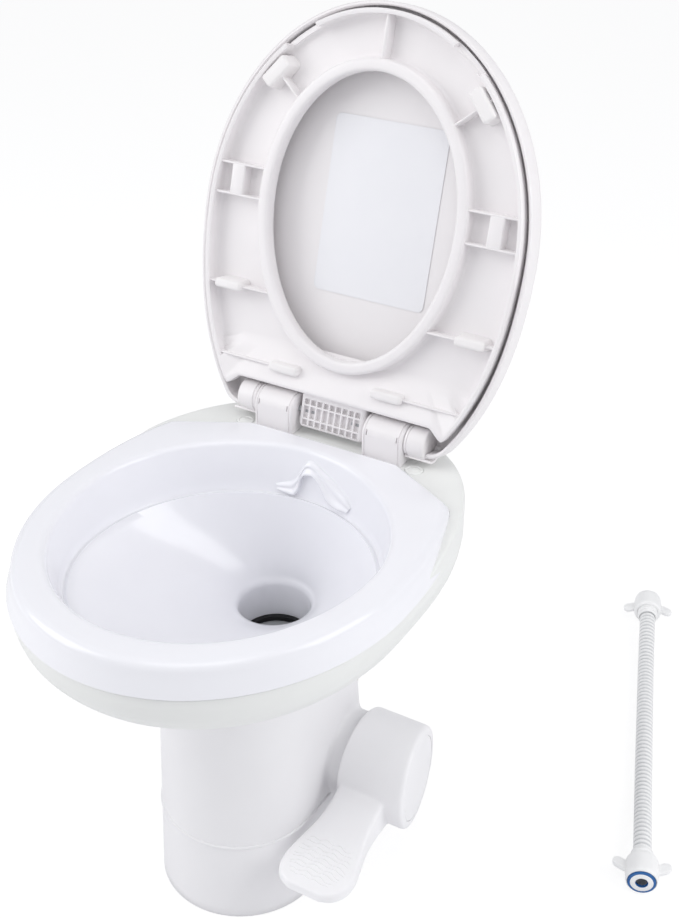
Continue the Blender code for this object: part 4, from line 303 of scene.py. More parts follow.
def between(tree, low, high, share):
    return add(tree, "MapRange", {"To Min": low, "To Max": high}, {"Value": share}).outputs["Result"]


def bump(tree, strength, deep_mm, **links):
    return add(tree, "Bump", {"Strength": strength, "Distance": deep_mm * MM}, links).outputs["Normal"]


def surface(name):
    made = bpy.data.materials.new(name)
    made.use_nodes = True
    tree = made.node_tree
    shader = tree.nodes["Principled BSDF"]
    where = add(tree, "TexCoord", {}).outputs["Object"]
    return made, tree, shader, where


def feed(tree, shader, colour, gloss, normal):
    for socket, source in (("Base Color", colour), ("Roughness", gloss), ("Normal", normal)):
        tree.links.new(source, shader.inputs[socket])


def moulding(name, shade, deeper, rough, grain_mm, grain_deep, sag_mm=45.0, ior=1.5, coat=0.0):
    """A moulded plastic: a colour that drifts a little, a fine mould grain and slow sink in thick places."""
    made, tree, shader, where = surface(name)
    drift = noise(tree, where, sag_mm, 2.0)
    gloss = between(tree, rough * 0.92, rough * 1.08, drift)
    sag = bump(tree, 0.2, 0.02, Height=drift)
    skin = bump(tree, 0.25, grain_deep, Height=noise(tree, where, grain_mm, 3.0), Normal=sag)
    feed(tree, shader, two_tone(tree, shade, deeper, drift), gloss, skin)
    shader.inputs["IOR"].default_value = ior
    shader.inputs["Coat Weight"].default_value = coat
    shader.inputs["Coat Roughness"].default_value = 0.06
    return made


def rubber(name, shade, bloom, rough):
    """Moulded rubber: dark, with a pale bloom in patches and a fine, dull grain."""
    made, tree, shader, where = surface(name)
    patches = noise(tree, where, 9.0, 4.0)
    gloss = between(tree, rough * 0.85, rough * 1.1, patches)
    skin = bump(tree, 0.4, 0.03, Height=noise(tree, where, 0.7, 2.0))
    feed(tree, shader, two_tone(tree, shade, bloom, patches), gloss, skin)
    return made


def groove_shaded(made, shade):
    """The material with painted shade in grooves: greyer the deeper in one the mesh says each of its points
    is.
    """
    tree = made.node_tree
    base = tree.nodes["Principled BSDF"].inputs["Base Color"]
    # painted shade: the colour is mixed towards a grey as far as a point lies down in a groove
    depth = add(tree, "Attribute", {"attribute_name": "groove"})
    settings = {"data_type": "RGBA", 7: linear(shade)}
    deep = add(tree, "Mix", settings, {0: depth.outputs["Fac"], 6: base.links[0].from_socket})
    tree.links.new(deep.outputs[2], base)
    return made


def turned_steel():
    """Stainless steel from the lathe: grey metal with fine rings across it and a few duller spots."""
    made, tree, shader, where = surface("turned_stainless_steel")
    rings = add(tree, "TexWave", {"Scale": 1000 / 1.2, "Distortion": 1.5}, {"Vector": where})
    spots = noise(tree, where, 6.0, 3.0)
    cuts = bump(tree, 0.2, 0.02, Height=rings.outputs["Fac"])
    feed(tree, shader, two_tone(tree, "#c3c6c8", "#a9acae", spots), between(tree, 0.22, 0.42, spots), cuts)
    shader.inputs["Metallic"].default_value = 1.0
    return made


FINISHES = {
    # Polished-tool ABS with a clear gloss: reads as glazed china, cool white, with soft wide highlights
    "bowl_white": moulding("polished_abs_bowl", "#f4f4f8", "#f1f1f6", 0.2, 2.5, 0.003, 60.0, 1.53, 0.15),
    # Fine-textured ABS: a duller, slightly green-grey white that frames the bowl
    "shell_white": moulding("satin_abs_shell", "#eff0ee", "#ebecea", 0.38, 0.9, 0.008),
    # ABS from a plain tool: soft gloss that shows the long vertical gradient
    "pedestal_white": moulding("soft_gloss_abs_pedestal", "#f0eff1", "#edecee", 0.33, 1.2, 0.004),
    # Polypropylene: a warm, waxy satin that goes faintly pink in its hollows
    "seat_white": moulding("satin_polypropylene_seat", "#f4f1f2", "#f0edee", 0.36, 0.8, 0.010),
    # Soft thermoplastic rubber: dull and a shade creamier than the seat
    "pad_white": moulding("soft_rubber_pads", "#f4f2f2", "#efecec", 0.5, 0.6, 0.01),
    # ABS with a spark-eroded grain: a soft gloss on which scuffs from the foot don't show
    "pedal_white": moulding("spark_textured_abs_pedal", "#f7f6f8", "#f4f3f5", 0.32, 0.7, 0.006),
    # Vinyl film with a clear laminate: flat, cool, a little glossier than the lid behind it
    "label_white": moulding("laminated_vinyl_label", "#f4f4f7", "#f1f1f5", 0.24, 3.0, 0.003, 30.0),
    # Acetal: mid grey, slippery and wet
    "blade_grey": moulding("acetal_valve_blade", "#b4b6b8", "#a6a8ab", 0.22, 1.5, 0.01, 20.0, 1.48, 0.3),
    # Glass-filled nylon: near black with a dry, sandy skin
    "works_black": moulding("glass_filled_nylon", "#232325", "#2d2d30", 0.5, 0.5, 0.03, 15.0),
    # Natural nylon: waxy, yellowish grey
    "nylon": moulding("natural_nylon", "#dcd9ce", "#d3d0c3", 0.42, 0.9, 0.012, 20.0, 1.53),
    # Blow-moulded polyethylene: milky and slightly waxy, with painted shade in the grooves between its ribs
    "hose_white": groove_shaded(
        moulding("blown_polyethylene_hose", "#fafafa", "#f6f6f6", 0.34, 1.4, 0.010, 12.0), "#c2c4c6"
    ),
    # Vulcanised rubber: matt black with a grey bloom
    "rubber_black": rubber("vulcanised_rubber_seal", "#0d0d0e", "#1c1c1e", 0.7),
    # Dyed silicone rubber: deep blue where the washer shows
    "rubber_blue": rubber("dyed_silicone_washer", "#1d5798", "#2a6bae", 0.5),
    "steel": turned_steel(),
}


# Making meshes


def linked(name, data):
    """A new object in the scene."""
    made = bpy.data.objects.new(name, data)
    bpy.context.scene.collection.objects.link(made)
    return made


def mesh_of(name, shape):
    """The shape as a mesh; the shape itself is freed."""
    mesh = bpy.data.meshes.new(name)
    shape.to_mesh(mesh)
    shape.free()
    return mesh


def temporary(shape):
    """A helper object for a modifier; it is removed again in shaped()."""
    bmesh.ops.recalc_face_normals(shape, faces=shape.faces)
    return linked("helper", mesh_of("helper", shape))


def shaped(shape, steps, others=()):
    """The shape after modifiers, each given as its kind and settings."""
    source = temporary(shape)
    for kind, settings in steps:
        step = source.modifiers.new(kind.lower(), kind)
        for name, value in settings.items():
            setattr(step, name, value)
    bpy.context.view_layer.update()
    graph = bpy.context.evaluated_depsgraph_get()
    mesh = bpy.data.meshes.new_from_object(source.evaluated_get(graph))
    result = bmesh.new()
    result.from_mesh(mesh)
    bpy.data.meshes.remove(mesh)
    for helper in (source, *others):
        bpy.data.objects.remove(helper)
    return result


def carve(shape, *cutters, operation="DIFFERENCE"):
    tools = [temporary(cutter) for cutter in cutters]
    steps = [("BOOLEAN", {"operation": operation, "object": tool}) for tool in tools]
    return shaped(shape, steps, tools)


def soften(shape, width):
    """The shape with its edges of more than 40 degrees rounded."""
    settings = {"width": width, "segments": 2, "limit_method": "ANGLE", "angle_limit": math.radians(40)}
    return shaped(shape, [("BEVEL", settings)])


def opened(shape):
    """A piece modelled closed, swung up to where it stands open."""
    bmesh.ops.transform(shape, matrix=OPENED, verts=shape.verts)
    return shape


def loft(rings, ends="capped", matrix=None):
    """Faces between rings of points: closed round like a tyre, or capped at the two ends."""
    shape = bmesh.new()
    rows = [[shape.verts.new(point) for point in ring] for ring in rings]
    pairs = list(zip(rows, rows[1:]))
    if ends == "closed":
        pairs.append((rows[-1], rows[0]))
    else:
        shape.faces.new(rows[0])
        shape.faces.new(rows[-1])
    for lower, upper in pairs:
        for k in range(len(lower)):
            shape.faces.new((lower[k - 1], lower[k], upper[k], upper[k - 1]))
    if matrix is not None:
        bmesh.ops.transform(shape, matrix=matrix, verts=shape.verts)
    return shape


def lathe(profile, place, axis, sides=64):
    """A closed profile of (radius, height) turned about an axis through a place."""
    turn = Vector(axis).to_track_quat("Z", "Y").to_matrix().to_4x4()
    rings = []
    for k in range(sides):
        angle = 2 * math.pi * k / sides
        rings.append([(r * math.cos(angle), r * math.sin(angle), h) for r, h in profile])
    return loft(rings, "closed", Matrix.Translation(place) @ turn)


def rod(radius, start, end, sides=48):
    start, end = Vector(start), Vector(end)
    long = (end - start).length
    return lathe([(AXIS_R, 0.0), (radius, 0.0), (radius, long), (AXIS_R, long)], start, end - start, sides)


def block(low, high, matrix=None):
    outline = [(low[0], low[1]), (high[0], low[1]), (high[0], high[1]), (low[0], high[1])]
    return loft([[(x, y, z) for x, y in outline] for z in (low[2], high[2])], matrix=matrix)


def together(*shapes):
    """Several closed shapes in one mesh."""
    whole = bmesh.new()
    for shape in shapes:
        mesh = mesh_of("part", shape)
        whole.from_mesh(mesh)
        bpy.data.meshes.remove(mesh)
    return whole


def finished(name, shape, slot, body, *nodes, crease=38):
    """A piece in its place: it rides on a body, and stands for these CAD nodes."""
    bmesh.ops.remove_doubles(shape, verts=shape.verts, dist=2e-6)
    bmesh.ops.recalc_face_normals(shape, faces=shape.faces)
    mesh = mesh_of(name, shape)
    mesh.shade_smooth()
    mesh.set_sharp_from_angle(angle=math.radians(crease))
    mesh.materials.append(FINISHES[slot])
    made = linked(name, mesh)
    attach(made, body)
    if nodes:
        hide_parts(*nodes)
    return made


def clamp(share):
    return min(max(share, 0.0), 1.0)


def smoothstep(value, low, high):
    share = clamp((value - low) / (high - low))
    return share * share * (3 - 2 * share)


def least(a, b, width):
    """The smaller of two lengths, rounded over where they meet."""
    share = clamp(0.5 + (b - a) / (2 * width))
    return b + (a - b) * share - width * share * (1 - share)


def along_spline(points, steps):
    """A smooth line through points, with steps from each to the next."""
    points = [Vector(point) for point in points]
    ends = [2 * points[0] - points[1], *points, 2 * points[-1] - points[-2]]
    line = []
    for a, b, c, d in zip(ends, ends[1:], ends[2:], ends[3:]):
        for k in range(steps):
            t = k / steps
            square, cube = 2 * a - 5 * b + 4 * c - d, 3 * b - a - 3 * c + d
            line.append((2 * b + (c - a) * t + square * t**2 + cube * t**3) / 2)
    return [*line, points[-1]]


def rounding(start, corner, end, steps=5):
    """Points round a corner of a profile, each a tuple of numbers, from start to end."""
    points = []
    for k in range(steps + 1):
        t = k / steps
        blend = ((1 - t) ** 2, 2 * t * (1 - t), t**2)
        points.append(tuple(sum(w * v for w, v in zip(blend, three)) for three in zip(start, corner, end)))
    return points


def rounded(make, *corner):
    """What make() makes of each point round a corner of a profile."""
    return [make(*point) for point in rounding(*corner)]


# Outlines, as a distance from their middle at each angle (0 is +X, a right angle is the rear)


def egg(angle, plan, outset=0.0):
    rear = math.sin(angle) > 0
    power = plan.rear_power if rear else plan.front_power
    length = (plan.rear if rear else plan.front) + outset
    across = abs(math.cos(angle)) / (plan.half + outset)
    ahead = abs(math.sin(angle)) / length
    return (across**power + ahead**power) ** (-1 / power)


def rim_cut(angle, outset=0.0):
    """How far the straight cuts at the rim's rear let an outline reach."""
    if math.sin(angle) <= 0.02:
        return NO_CUT
    side, rear = RIM_SIDE_CUT, RIM_REAR_CUT
    slope = Vector((rear[1] - side[1], side[0] - rear[0])).normalized()
    facing = abs(math.cos(angle)) * slope.x + math.sin(angle) * slope.y
    first, second = (rear[1] + outset) / math.sin(angle), (slope.dot(side) + outset) / facing
    return least(first, second, 0.002)


def rim_outline(angle, outset, cut=0.0):
    return least(egg(angle, RIM, outset), rim_cut(angle, cut), 0.003)


def round_reach(aim, middle, radius):
    near = aim.dot(middle)
    return near + math.sqrt(radius**2 - middle.length_squared + near**2)


def pedestal_outline(angle, z, outset=0.0):
    """A round nose, straight sides and a straight rear with round corners, all smaller further up."""
    half = PEDESTAL_R - DRAFT * z + outset
    rear = PEDESTAL_REAR - DRAFT * z + outset - PEDESTAL_MIDDLE
    corner = PEDESTAL_CORNER + outset
    nose = PEDESTAL_NOSE - PEDESTAL_MIDDLE
    aim = Vector((abs(math.cos(angle)), math.sin(angle)))
    if aim.x > 1e-9:
        side = half / aim.x
        if nose <= side * aim.y <= rear - corner:
            return side
        if side * aim.y < nose:
            return round_reach(aim, Vector((0.0, nose)), half)
    elif aim.y < 0:
        return round_reach(aim, Vector((0.0, nose)), half)
    back = rear / aim.y
    if back * aim.x <= half - corner:
        return back
    return round_reach(aim, Vector((half - corner, rear - corner)), corner)


ROUND_STEPS = 192
ROUND = [-math.pi / 2 + 2 * math.pi * k / ROUND_STEPS for k in range(ROUND_STEPS)]


def finer_round():
    """The same angles, and more of them where the seat's rear corners are."""
    corners = [math.radians(46 + 0.5 * k) for k in range(37)]
    both = [*corners, *(math.pi - a for a in corners)]
    plain = [a for a in ROUND if all(abs(a - b) > 0.02 for b in both)]
    return sorted([*plain, *both])


HINGED_ROUND = finer_round()


def ring(reach, back, z):
    """A level ring round a middle that lies behind the middle of the rim."""
    middle = BOWL_Y + back
    return [(reach(a) * math.cos(a), middle + reach(a) * math.sin(a), z) for a in ROUND]


def mixed(first, second, share, z):
    return [(p[0] + (q[0] - p[0]) * share, p[1] + (q[1] - p[1]) * share, z) for p, q in zip(first, second)]


def hole_ring(outset, z):
    return ring(lambda a: egg(a, RIM_HOLE, outset), 0.0, z)


def rim_ring(outset, z, cut=0.0):
    return ring(lambda a: rim_outline(a, outset, cut), 0.0, z)


def step_ring(outset, z):
    return ring(lambda a: egg(a, STEP_PLAN, outset), STEP_BACK, z)


def throat_ring(radius, z):
    return ring(lambda a: radius, THROAT_BACK, z)


def pedestal_ring(z, outset=0.0):
    return ring(lambda a: pedestal_outline(a, z, outset), PEDESTAL_MIDDLE, z)


# Camera, light and floor


def set_camera():
    camera = linked("camera", bpy.data.cameras.new("camera"))
    up = CAMERA_BACK.cross(CAMERA_RIGHT)
    turn = Matrix((CAMERA_RIGHT, up, CAMERA_BACK)).transposed().to_4x4()
    camera.matrix_world = Matrix.Translation(CAMERA_AT) @ turn
    camera.data.lens = CAMERA_LENS
    camera.data.sensor_width = SENSOR
    bpy.context.scene.camera = camera


def set_studio():
    """A big soft lamp high on the left, a weaker one on the right, one above, and a pale room all round."""
    for name, place, size, power in LAMPS:
        light = bpy.data.lights.new(name, "AREA")
        light.shape = "RECTANGLE"
        light.size, light.size_y = size
        light.energy = power
        made = linked(name, light)
        made.location = place
        made.rotation_euler = (LAMP_AIM - Vector(place)).to_track_quat("-Z", "Y").to_euler()
    world = bpy.data.worlds.new("pale_room")
    bpy.context.scene.world = world
    world.use_nodes = True
    tree = world.node_tree
    light = tree.nodes["Background"]
    light.inputs["Color"].default_value = linear("#f6f7fa")
    light.inputs["Strength"].default_value = ROOM_STRENGTH
    seen = add(tree, "Background", {"Color": WHITE, "Strength": 1.0})
    path = add(tree, "LightPath", {}).outputs
    rays = {0: path["Is Camera Ray"], 1: path["Is Transmission Ray"]}
    either = add(tree, "Math", {"operation": "MAXIMUM"}, rays)
    room = add(tree, "MixShader", {}, {0: either.outputs[0], 1: light.outputs[0], 2: seen.outputs[0]})
    tree.links.new(room.outputs[0], tree.nodes["World Output"].inputs["Surface"])
    bpy.context.scene.view_settings.view_transform = "Standard"


def lay_floor():
    """A plain white floor. Most of what the camera sees of it is its own glow, so shadows stay faint."""
    shape = bmesh.new()
    bmesh.ops.create_grid(shape, x_segments=8, y_segments=8, size=FLOOR_HALF)
    floor = linked("studio_floor", mesh_of("studio_floor", shape))
    made, tree, shader, where = surface("matt_white_paper_floor")
    colour = two_tone(tree, "#f7f7f8", "#f4f4f5", noise(tree, where, 3.0, 2.0))
    tree.links.new(colour, shader.inputs["Base Color"])
    shader.inputs["Roughness"].default_value = 0.9
    shader.inputs["Specular IOR Level"].default_value = 0.1
    white = add(tree, "Emission", {"Color": WHITE, "Strength": FLOOR_GLOW})
    path = add(tree, "LightPath", {})
    settings = {"operation": "MULTIPLY", 1: FLOOR_GLOW_SHARE}
    share = add(tree, "Math", settings, {0: path.outputs["Is Camera Ray"]})
    seen = add(tree, "MixShader", {}, {0: share.outputs[0], 1: shader.outputs[0], 2: white.outputs[0]})
    tree.links.new(seen.outputs[0], tree.nodes["Material Output"].inputs["Surface"])
    floor.data.materials.append(made)


# Hose


def hose_line():
    """The hose's middle line from washer to washer: level with its nuts, and down on the floor between."""
    high, low = HOSE_NUT_R + GAP, HOSE_R + GAP
    last = len(HOSE_ROUTE) - 1
    points = []
    for k, (x, y) in enumerate(HOSE_ROUTE):
        points.append((x, BOWL_Y + y, high + (low - high) * smoothstep(min(k, last - k), 3, 7)))
    return along_spline(points, 16)


def lengths_along(line):
    lengths = [0.0]
    for a, b in zip(line, line[1:]):
        lengths.append(lengths[-1] + (b - a).length)
    return lengths


def read_along(line, stops):
    """The points at these lengths along a line."""
    lengths = lengths_along(line)
    points = []
    k = 0
    for stop in stops:
        while k < len(lengths) - 2 and lengths[k + 1] < stop:
            k += 1
        share = (stop - lengths[k]) / (lengths[k + 1] - lengths[k])
        points.append(line[k].lerp(line[k + 1], share))
    return points


def wing(place, axis, across, side):
    """One ear of a hose nut: swept back towards the hose, thick in the middle, with a rolled edge."""
    rings = []
    for level, size in ((-0.0028, 0.9), (-0.0020, 1.0), (0.0020, 1.0), (0.0028, 0.9)):
        flat = [WING_MIDDLE + (Vector(p) - WING_MIDDLE) * size for p in WING_OUTLINE]
        rings.append([place + Vector((0, 0, level)) + across * (side * p.x) + axis * p.y for p in flat])
    return shaped(loft(rings), [("SUBSURF", {"levels": 2})])


def make_hose():
    """The ribbed tube, whose mesh says how deep in a groove it is for the painted shade there, and the
    fittings at its ends.
    """
    line = hose_line()
    length = lengths_along(line)[-1] - 2 * HOSE_END
    steps = round(length / HOSE_PITCH) * RINGS_PER_RIB
    path = read_along(line, [HOSE_END + length * k / steps for k in range(steps + 1)])
    turns = [2 * math.pi * n / HOSE_SIDES for n in range(HOSE_SIDES)]
    rings, depths = [], []
    for k, point in enumerate(path):
        ahead = (path[min(k + 1, steps)] - path[max(k - 1, 0)]).normalized()
        side = ahead.cross(Vector((0, 0, 1))).normalized()
        up = side.cross(ahead)
        swell = math.sin(math.pi * (k % RINGS_PER_RIB) / RINGS_PER_RIB)
        reach = HOSE_GROOVE_R + (HOSE_R - HOSE_GROOVE_R) * swell**0.6
        rings.append([point + side * (reach * math.cos(t)) + up * (reach * math.sin(t)) for t in turns])
        # how far down in the grooves each point lies, which the hose material paints as shade
        depths += [(1 - swell) ** 1.2] * HOSE_SIDES
    shape = loft(rings)
    groove = shape.verts.layers.float.new("groove")
    for vertex, depth in zip(shape.verts, depths):
        vertex[groove] = depth
    hose = finished("ribbed_hose", shape, "hose_white", "toilet", "supply_hose", crease=80)
    fittings = []
    for name, way in (("near", line), ("far", line[::-1])):
        fittings += make_hose_end(name, way[0], (way[6] - way[0]).normalized())


def make_hose_end(name, place, axis):
    """A wing nut, the stepped tail it holds and the blue washer in it, back from the washer's face."""
    start, end = 0.0015, 0.0015 + HOSE_NUT_LONG
    outer, room = HOSE_NUT_R, HOSE_NUT_R - HOSE_NUT_WALL
    neck = HOSE_TAIL_R + GAP
    profile = [
        (room, start), (room + 0.0007, start),
        *rounding((outer - 0.0016, start + 0.0012), (outer, start + 0.003), (outer, start + 0.007)),
        (outer, end - 0.005), *rounding((outer, end - 0.004), (outer, end), (outer - 0.003, end)),
        (neck, end), (neck, end - 0.004), (room, end - 0.006),
    ]
    inner, edge = WASHER_BORE_R + 0.0004, room - 0.0030
    face = [(inner, -0.0004), (edge - 0.0006, -0.0004), (edge, 0.0002), (edge, 0.001), (inner, 0.001)]
    across = Vector((axis.y, -axis.x, 0.0)).normalized()
    nut = together(
        lathe(profile, place, axis, 48), wing(place, axis, across, 1), wing(place, axis, across, -1),
        lathe(face, place, axis, 48),
    )
    low, high = end - 0.003, end + HOSE_TAIL_LONG
    middle, r = (end + high) / 2, HOSE_TAIL_R
    tail = [
        (HOSE_R, low), (r, low), (r, middle - 0.0006), (r - 0.0006, middle), (r - 0.0014, middle + 0.0004),
        (r - 0.0008, middle + 0.0012), (r - 0.001, high - 0.0012), (r - 0.0018, high), (HOSE_R + GAP, high),
        (HOSE_R + GAP, high - 0.006), (HOSE_R, high - 0.007),
    ]
    edge = room - 2 * GAP
    washer = [
        (WASHER_BORE_R, 0.0), *rounding((edge - 0.0012, 0.0), (edge, 0.0), (edge, 0.0008), 3),
        (edge, WASHER_THICK), (WASHER_BORE_R, WASHER_THICK),
    ]
    pieces = [finished(f"wing_nut_{name}", nut, "hose_white", "toilet", f"hose_nut_{name}", crease=50)]
    for kind, turned, slot, node in (
        ("barbed_tail", tail, "hose_white", "hose_tail"),
        ("blue_washer", washer, "rubber_blue", "hose_washer"),
    ):
        shape = lathe(turned, place, axis, 48)
        pieces.append(finished(f"{kind}_{name}", shape, slot, "toilet", f"{node}_{name}"))
    return pieces


# Bowl and spout


def wall_share(share):
    """How far in the wall has come, of the way from the hole's edge to the step, at a share of its fall."""
    return (share + 0.12 * math.sin(math.pi * share) * (1 - share)) * 0.97


def bowl_inside():
    """Rings of the bowl's inner face, from the edge of the rim's hole down to the throat."""
    edge, crease = hole_ring(0.0, RIM_Z - RIM_ROUND), step_ring(0.0, STEP_Z)
    drop = RIM_Z - RIM_ROUND - STEP_Z
    rings = [mixed(edge, crease, wall_share(k / 10), RIM_Z - RIM_ROUND - drop * k / 10) for k in range(10)]
    rings += [step_ring(out * MM, STEP_Z + up * MM) for out, up in STEP_SECTION_MM]
    ledge = step_ring(-STEP_LEDGE, STEP_Z - STEP_FALL)
    rings.append(ledge)
    throat = throat_ring(THROAT_R + THROAT_ROUND, THROAT_Z + THROAT_ROUND)
    fall = STEP_Z - STEP_FALL - THROAT_Z - THROAT_ROUND
    for point in along_spline(FUNNEL_SHARES, 5)[1:-1]:
        rings.append(mixed(ledge, throat, point.x, STEP_Z - STEP_FALL - fall * point.y))
    for out, z in rounding((THROAT_ROUND, THROAT_ROUND), (0.0006, 0.0008), (0.0, -0.004)):
        rings.append(throat_ring(THROAT_R + out, THROAT_Z + z))
    return [*rings, throat_ring(THROAT_R, THROAT_FOOT_Z)]


def make_bowl():
    shoulder_z = RIM_Z - RIM_SHOULDER
    rings = bowl_inside()[::-1]
    rings += rounded(hole_ring, (0.0, RIM_Z - RIM_ROUND), (0.0002, RIM_Z), (RIM_ROUND + 0.001, RIM_Z), 6)
    for out, z in rounding((-RIM_SHOULDER, RIM_Z), (-0.0005, RIM_Z), (0.0, shoulder_z), 7):
        rings.append(rim_ring(out, z, min(out, 0.0) * 0.55))
    for share in (0.35, 0.7, 0.96):
        rings.append(rim_ring(RIM_FLARE * share, shoulder_z + (RIM_FOOT_Z - shoulder_z) * share))
    ledge_in, throat_out = BOWL_WALL - STEP_LEDGE, THROAT_R + BOWL_WALL
    middle_z = STEP_Z - (STEP_Z - THROAT_Z) * 0.66 - BOWL_WALL
    rings += [
        rim_ring(RIM_FLARE - 0.001, RIM_FOOT_Z, -0.001),
        rim_ring(RIM_FLARE - BOWL_WALL, RIM_FOOT_Z, -BOWL_WALL),
        rim_ring(-BOWL_WALL, shoulder_z, -BOWL_WALL),
        hole_ring(BOWL_WALL, RIM_Z - RIM_ROUND - 0.001),
        step_ring(BOWL_WALL, STEP_Z - BOWL_WALL),
        step_ring(ledge_in, STEP_Z - STEP_FALL - BOWL_WALL),
        mixed(step_ring(ledge_in, 0.0), throat_ring(throat_out, 0.0), 0.6, middle_z),
        throat_ring(throat_out, THROAT_Z - THROAT_ROUND),
        throat_ring(throat_out, THROAT_FOOT_Z),
    ]
    finished("toilet_bowl", loft(rings, "closed"), "bowl_white", "toilet", "bowl", crease=60)


def rear_wall(x, z):
    """Where the bowl's rear wall lies."""
    drop = RIM_Z - RIM_ROUND - STEP_Z
    upper = RIM_HOLE.rear * (1 - abs(x / RIM_HOLE.half) ** RIM_HOLE.rear_power) ** (1 / RIM_HOLE.rear_power)
    lower = STEP_PLAN.rear * math.sqrt(1 - (x / STEP_PLAN.half) ** 2) + STEP_BACK
    return BOWL_Y + upper + (lower - upper) * wall_share(clamp((RIM_Z - RIM_ROUND - z) / drop))


def make_nozzle():
    """The spout on the bowl's rear wall: an arch of two soft ridges whose feet flare over the ledge."""
    outer_line = along_spline([(*outer, high) for outer, _, high in SPOUT_STATIONS_MM], 5)
    inner_line = along_spline([(*inner, high) for _, inner, high in SPOUT_STATIONS_MM], 5)
    profile = along_spline(SPOUT_SECTION, 4)
    sections = []
    for outer, inner in zip(outer_line, inner_line):
        points = []
        for share, high in profile:
            x = (outer.x + (inner.x - outer.x) * share) * MM
            z = SPOUT_TOP_Z + (outer.y + (inner.y - outer.y) * share) * MM
            points.append((x, rear_wall(x, z) - high * outer.z * MM + 0.0002, z))
        for edge in (inner, outer):
            x, z = edge.x * MM, SPOUT_TOP_Z + edge.y * MM
            points.append((x, rear_wall(x, z) + 0.002, z))
        sections.append(points)
    spigot = rod(0.0045, (0.0, 0.0885, 0.3975), (0.0, 0.0992, 0.3975), 24)
    spout = together(loft(sections), spigot)
    finished("flush_spout", spout, "bowl_white", "toilet", "flush_nozzle", crease=75)


# Shell and pedestal


def cheek(angle):
    """How much of the deck's height the cheek has at an angle: none in front, all behind the corner."""
    turn = math.degrees(math.asin(max(min(math.sin(angle), 1.0), -1.0)))
    return smoothstep(turn, *CHEEK_TURNS)


def shell_ring(outset, up, top_in=0.0, crevice=0.0):
    """A ring of the wall; in front it may draw in under the rim, which leaves a dark line there."""
    points = []
    for a in ROUND:
        high = cheek(a)
        inset = (SHELL_INSET + crevice) * (1 - high) + top_in * high
        reach = egg(a, SHELL, outset - inset)
        lift = (DECK_TOP_Z - SHELL_TOP_Z) * high * up - (0.0 if crevice else CREVICE_TALL)
        points.append((reach * math.cos(a), BOWL_Y + reach * math.sin(a), SHELL_TOP_Z + lift))
    return points


def rim_side(share):
    """From the deck's top down along the rim's outside, and then under it."""
    shoulder_z = RIM_Z - RIM_SHOULDER
    points = []
    for a in ROUND:
        high = cheek(a)
        z = SHELL_TOP_Z + (DECK_TOP_Z - SHELL_TOP_Z) * high * (1 - share)
        flare = RIM_FLARE * clamp((shoulder_z - z) / (shoulder_z - RIM_FOOT_Z))
        near = rim_outline(a, flare) - 0.0004 * (1 - share)
        far = egg(a, SHELL, -SHELL_INSET * (1 - high)) - 0.0030
        reach = min(near, far) if high > 0 else far
        points.append((reach * math.cos(a), BOWL_Y + reach * math.sin(a), z - 0.0002 * share))
    return points


def make_shell():
    """The outer body: a dish from the pedestal up to the rim, with a deck behind and a cheek at each side."""
    foot_z = PEDESTAL_TOP_Z + GAP

    def dished(top, bottom, point):
        return mixed(top, bottom, max(point[0], 0.0), SHELL_TOP_Z - (SHELL_TOP_Z - foot_z) * point[1])

    outer_top, foot = shell_ring(0.0, 0.0), pedestal_ring(foot_z)
    outer = [dished(outer_top, foot, point) for point in along_spline(SHELL_SHARES, 5)[1:]]
    inner_top, inner_foot = shell_ring(-SHELL_WALL, 0.0), pedestal_ring(foot_z, -SHELL_WALL)
    inner = [dished(inner_top, inner_foot, point) for point in SHELL_SHARES[1:4]]
    deck = [shell_ring(0.0, up, 0.0, CREVICE_DEEP) for up in (0.0, 0.4, 0.75)]
    for inset, up in rounding((0.0, 0.78), (0.0, 1.0), (DECK_ROUND, 1.0)):
        deck.append(shell_ring(0.0, up, inset, CREVICE_DEEP))
    beside = [rim_side(share) for share in (0.0, 0.3, 0.65, 1.0)]
    half_way = mixed(deck[-1], beside[0], 0.5, 0.0)
    deck.append([(x, y, z) for (x, y, _), (_, _, z) in zip(half_way, beside[0])])
    rings = [*outer[::-1], outer_top, *deck, *beside, inner_top, *inner, inner_foot]
    top_z, low = DECK_TOP_Z + 0.0011, DECK_TOP_Z - 0.0024
    cutters = []
    for side, _ in SIDES:
        cutters.append(rod(PLUG_R + GAP, (side * PLUG_X, PLUG_Y, low), (side * PLUG_X, PLUG_Y, 0.43)))
    shape = carve(loft(rings, "closed"), *cutters)
    finished("body_and_deck", shape, "shell_white", "toilet", "body_shell", crease=50)
    profile = [
        (AXIS_R, low + GAP), (PLUG_R, low + GAP),
        *rounding((PLUG_R, top_z - 0.0012), (PLUG_R, top_z), (PLUG_R - 0.0022, top_z), 4),
        (PLUG_R * 0.72, top_z), (PLUG_R * 0.66, top_z - 0.0006), (PLUG_R * 0.6, top_z - 0.0002),
        (AXIS_R, top_z),
    ]
    for side, name in SIDES:
        plug = lathe(profile, (side * PLUG_X, PLUG_Y, 0.0), (0, 0, 1))
        finished(f"dome_plug_{name}", plug, "shell_white", "toilet", f"deck_plug_{name}")


def pedestal_side(y, z):
    """How far out the pedestal's right face lies at a place."""
    half = PEDESTAL_R - DRAFT * z
    nose = BOWL_Y + PEDESTAL_NOSE
    corner_y = BOWL_Y + PEDESTAL_REAR - DRAFT * z - PEDESTAL_CORNER
    if y < nose:
        return math.sqrt(max(half**2 - (y - nose) ** 2, 0.0))
    if y <= corner_y:
        return half
    over = min(y - corner_y, PEDESTAL_CORNER)
    return half - PEDESTAL_CORNER + math.sqrt(PEDESTAL_CORNER**2 - over**2)


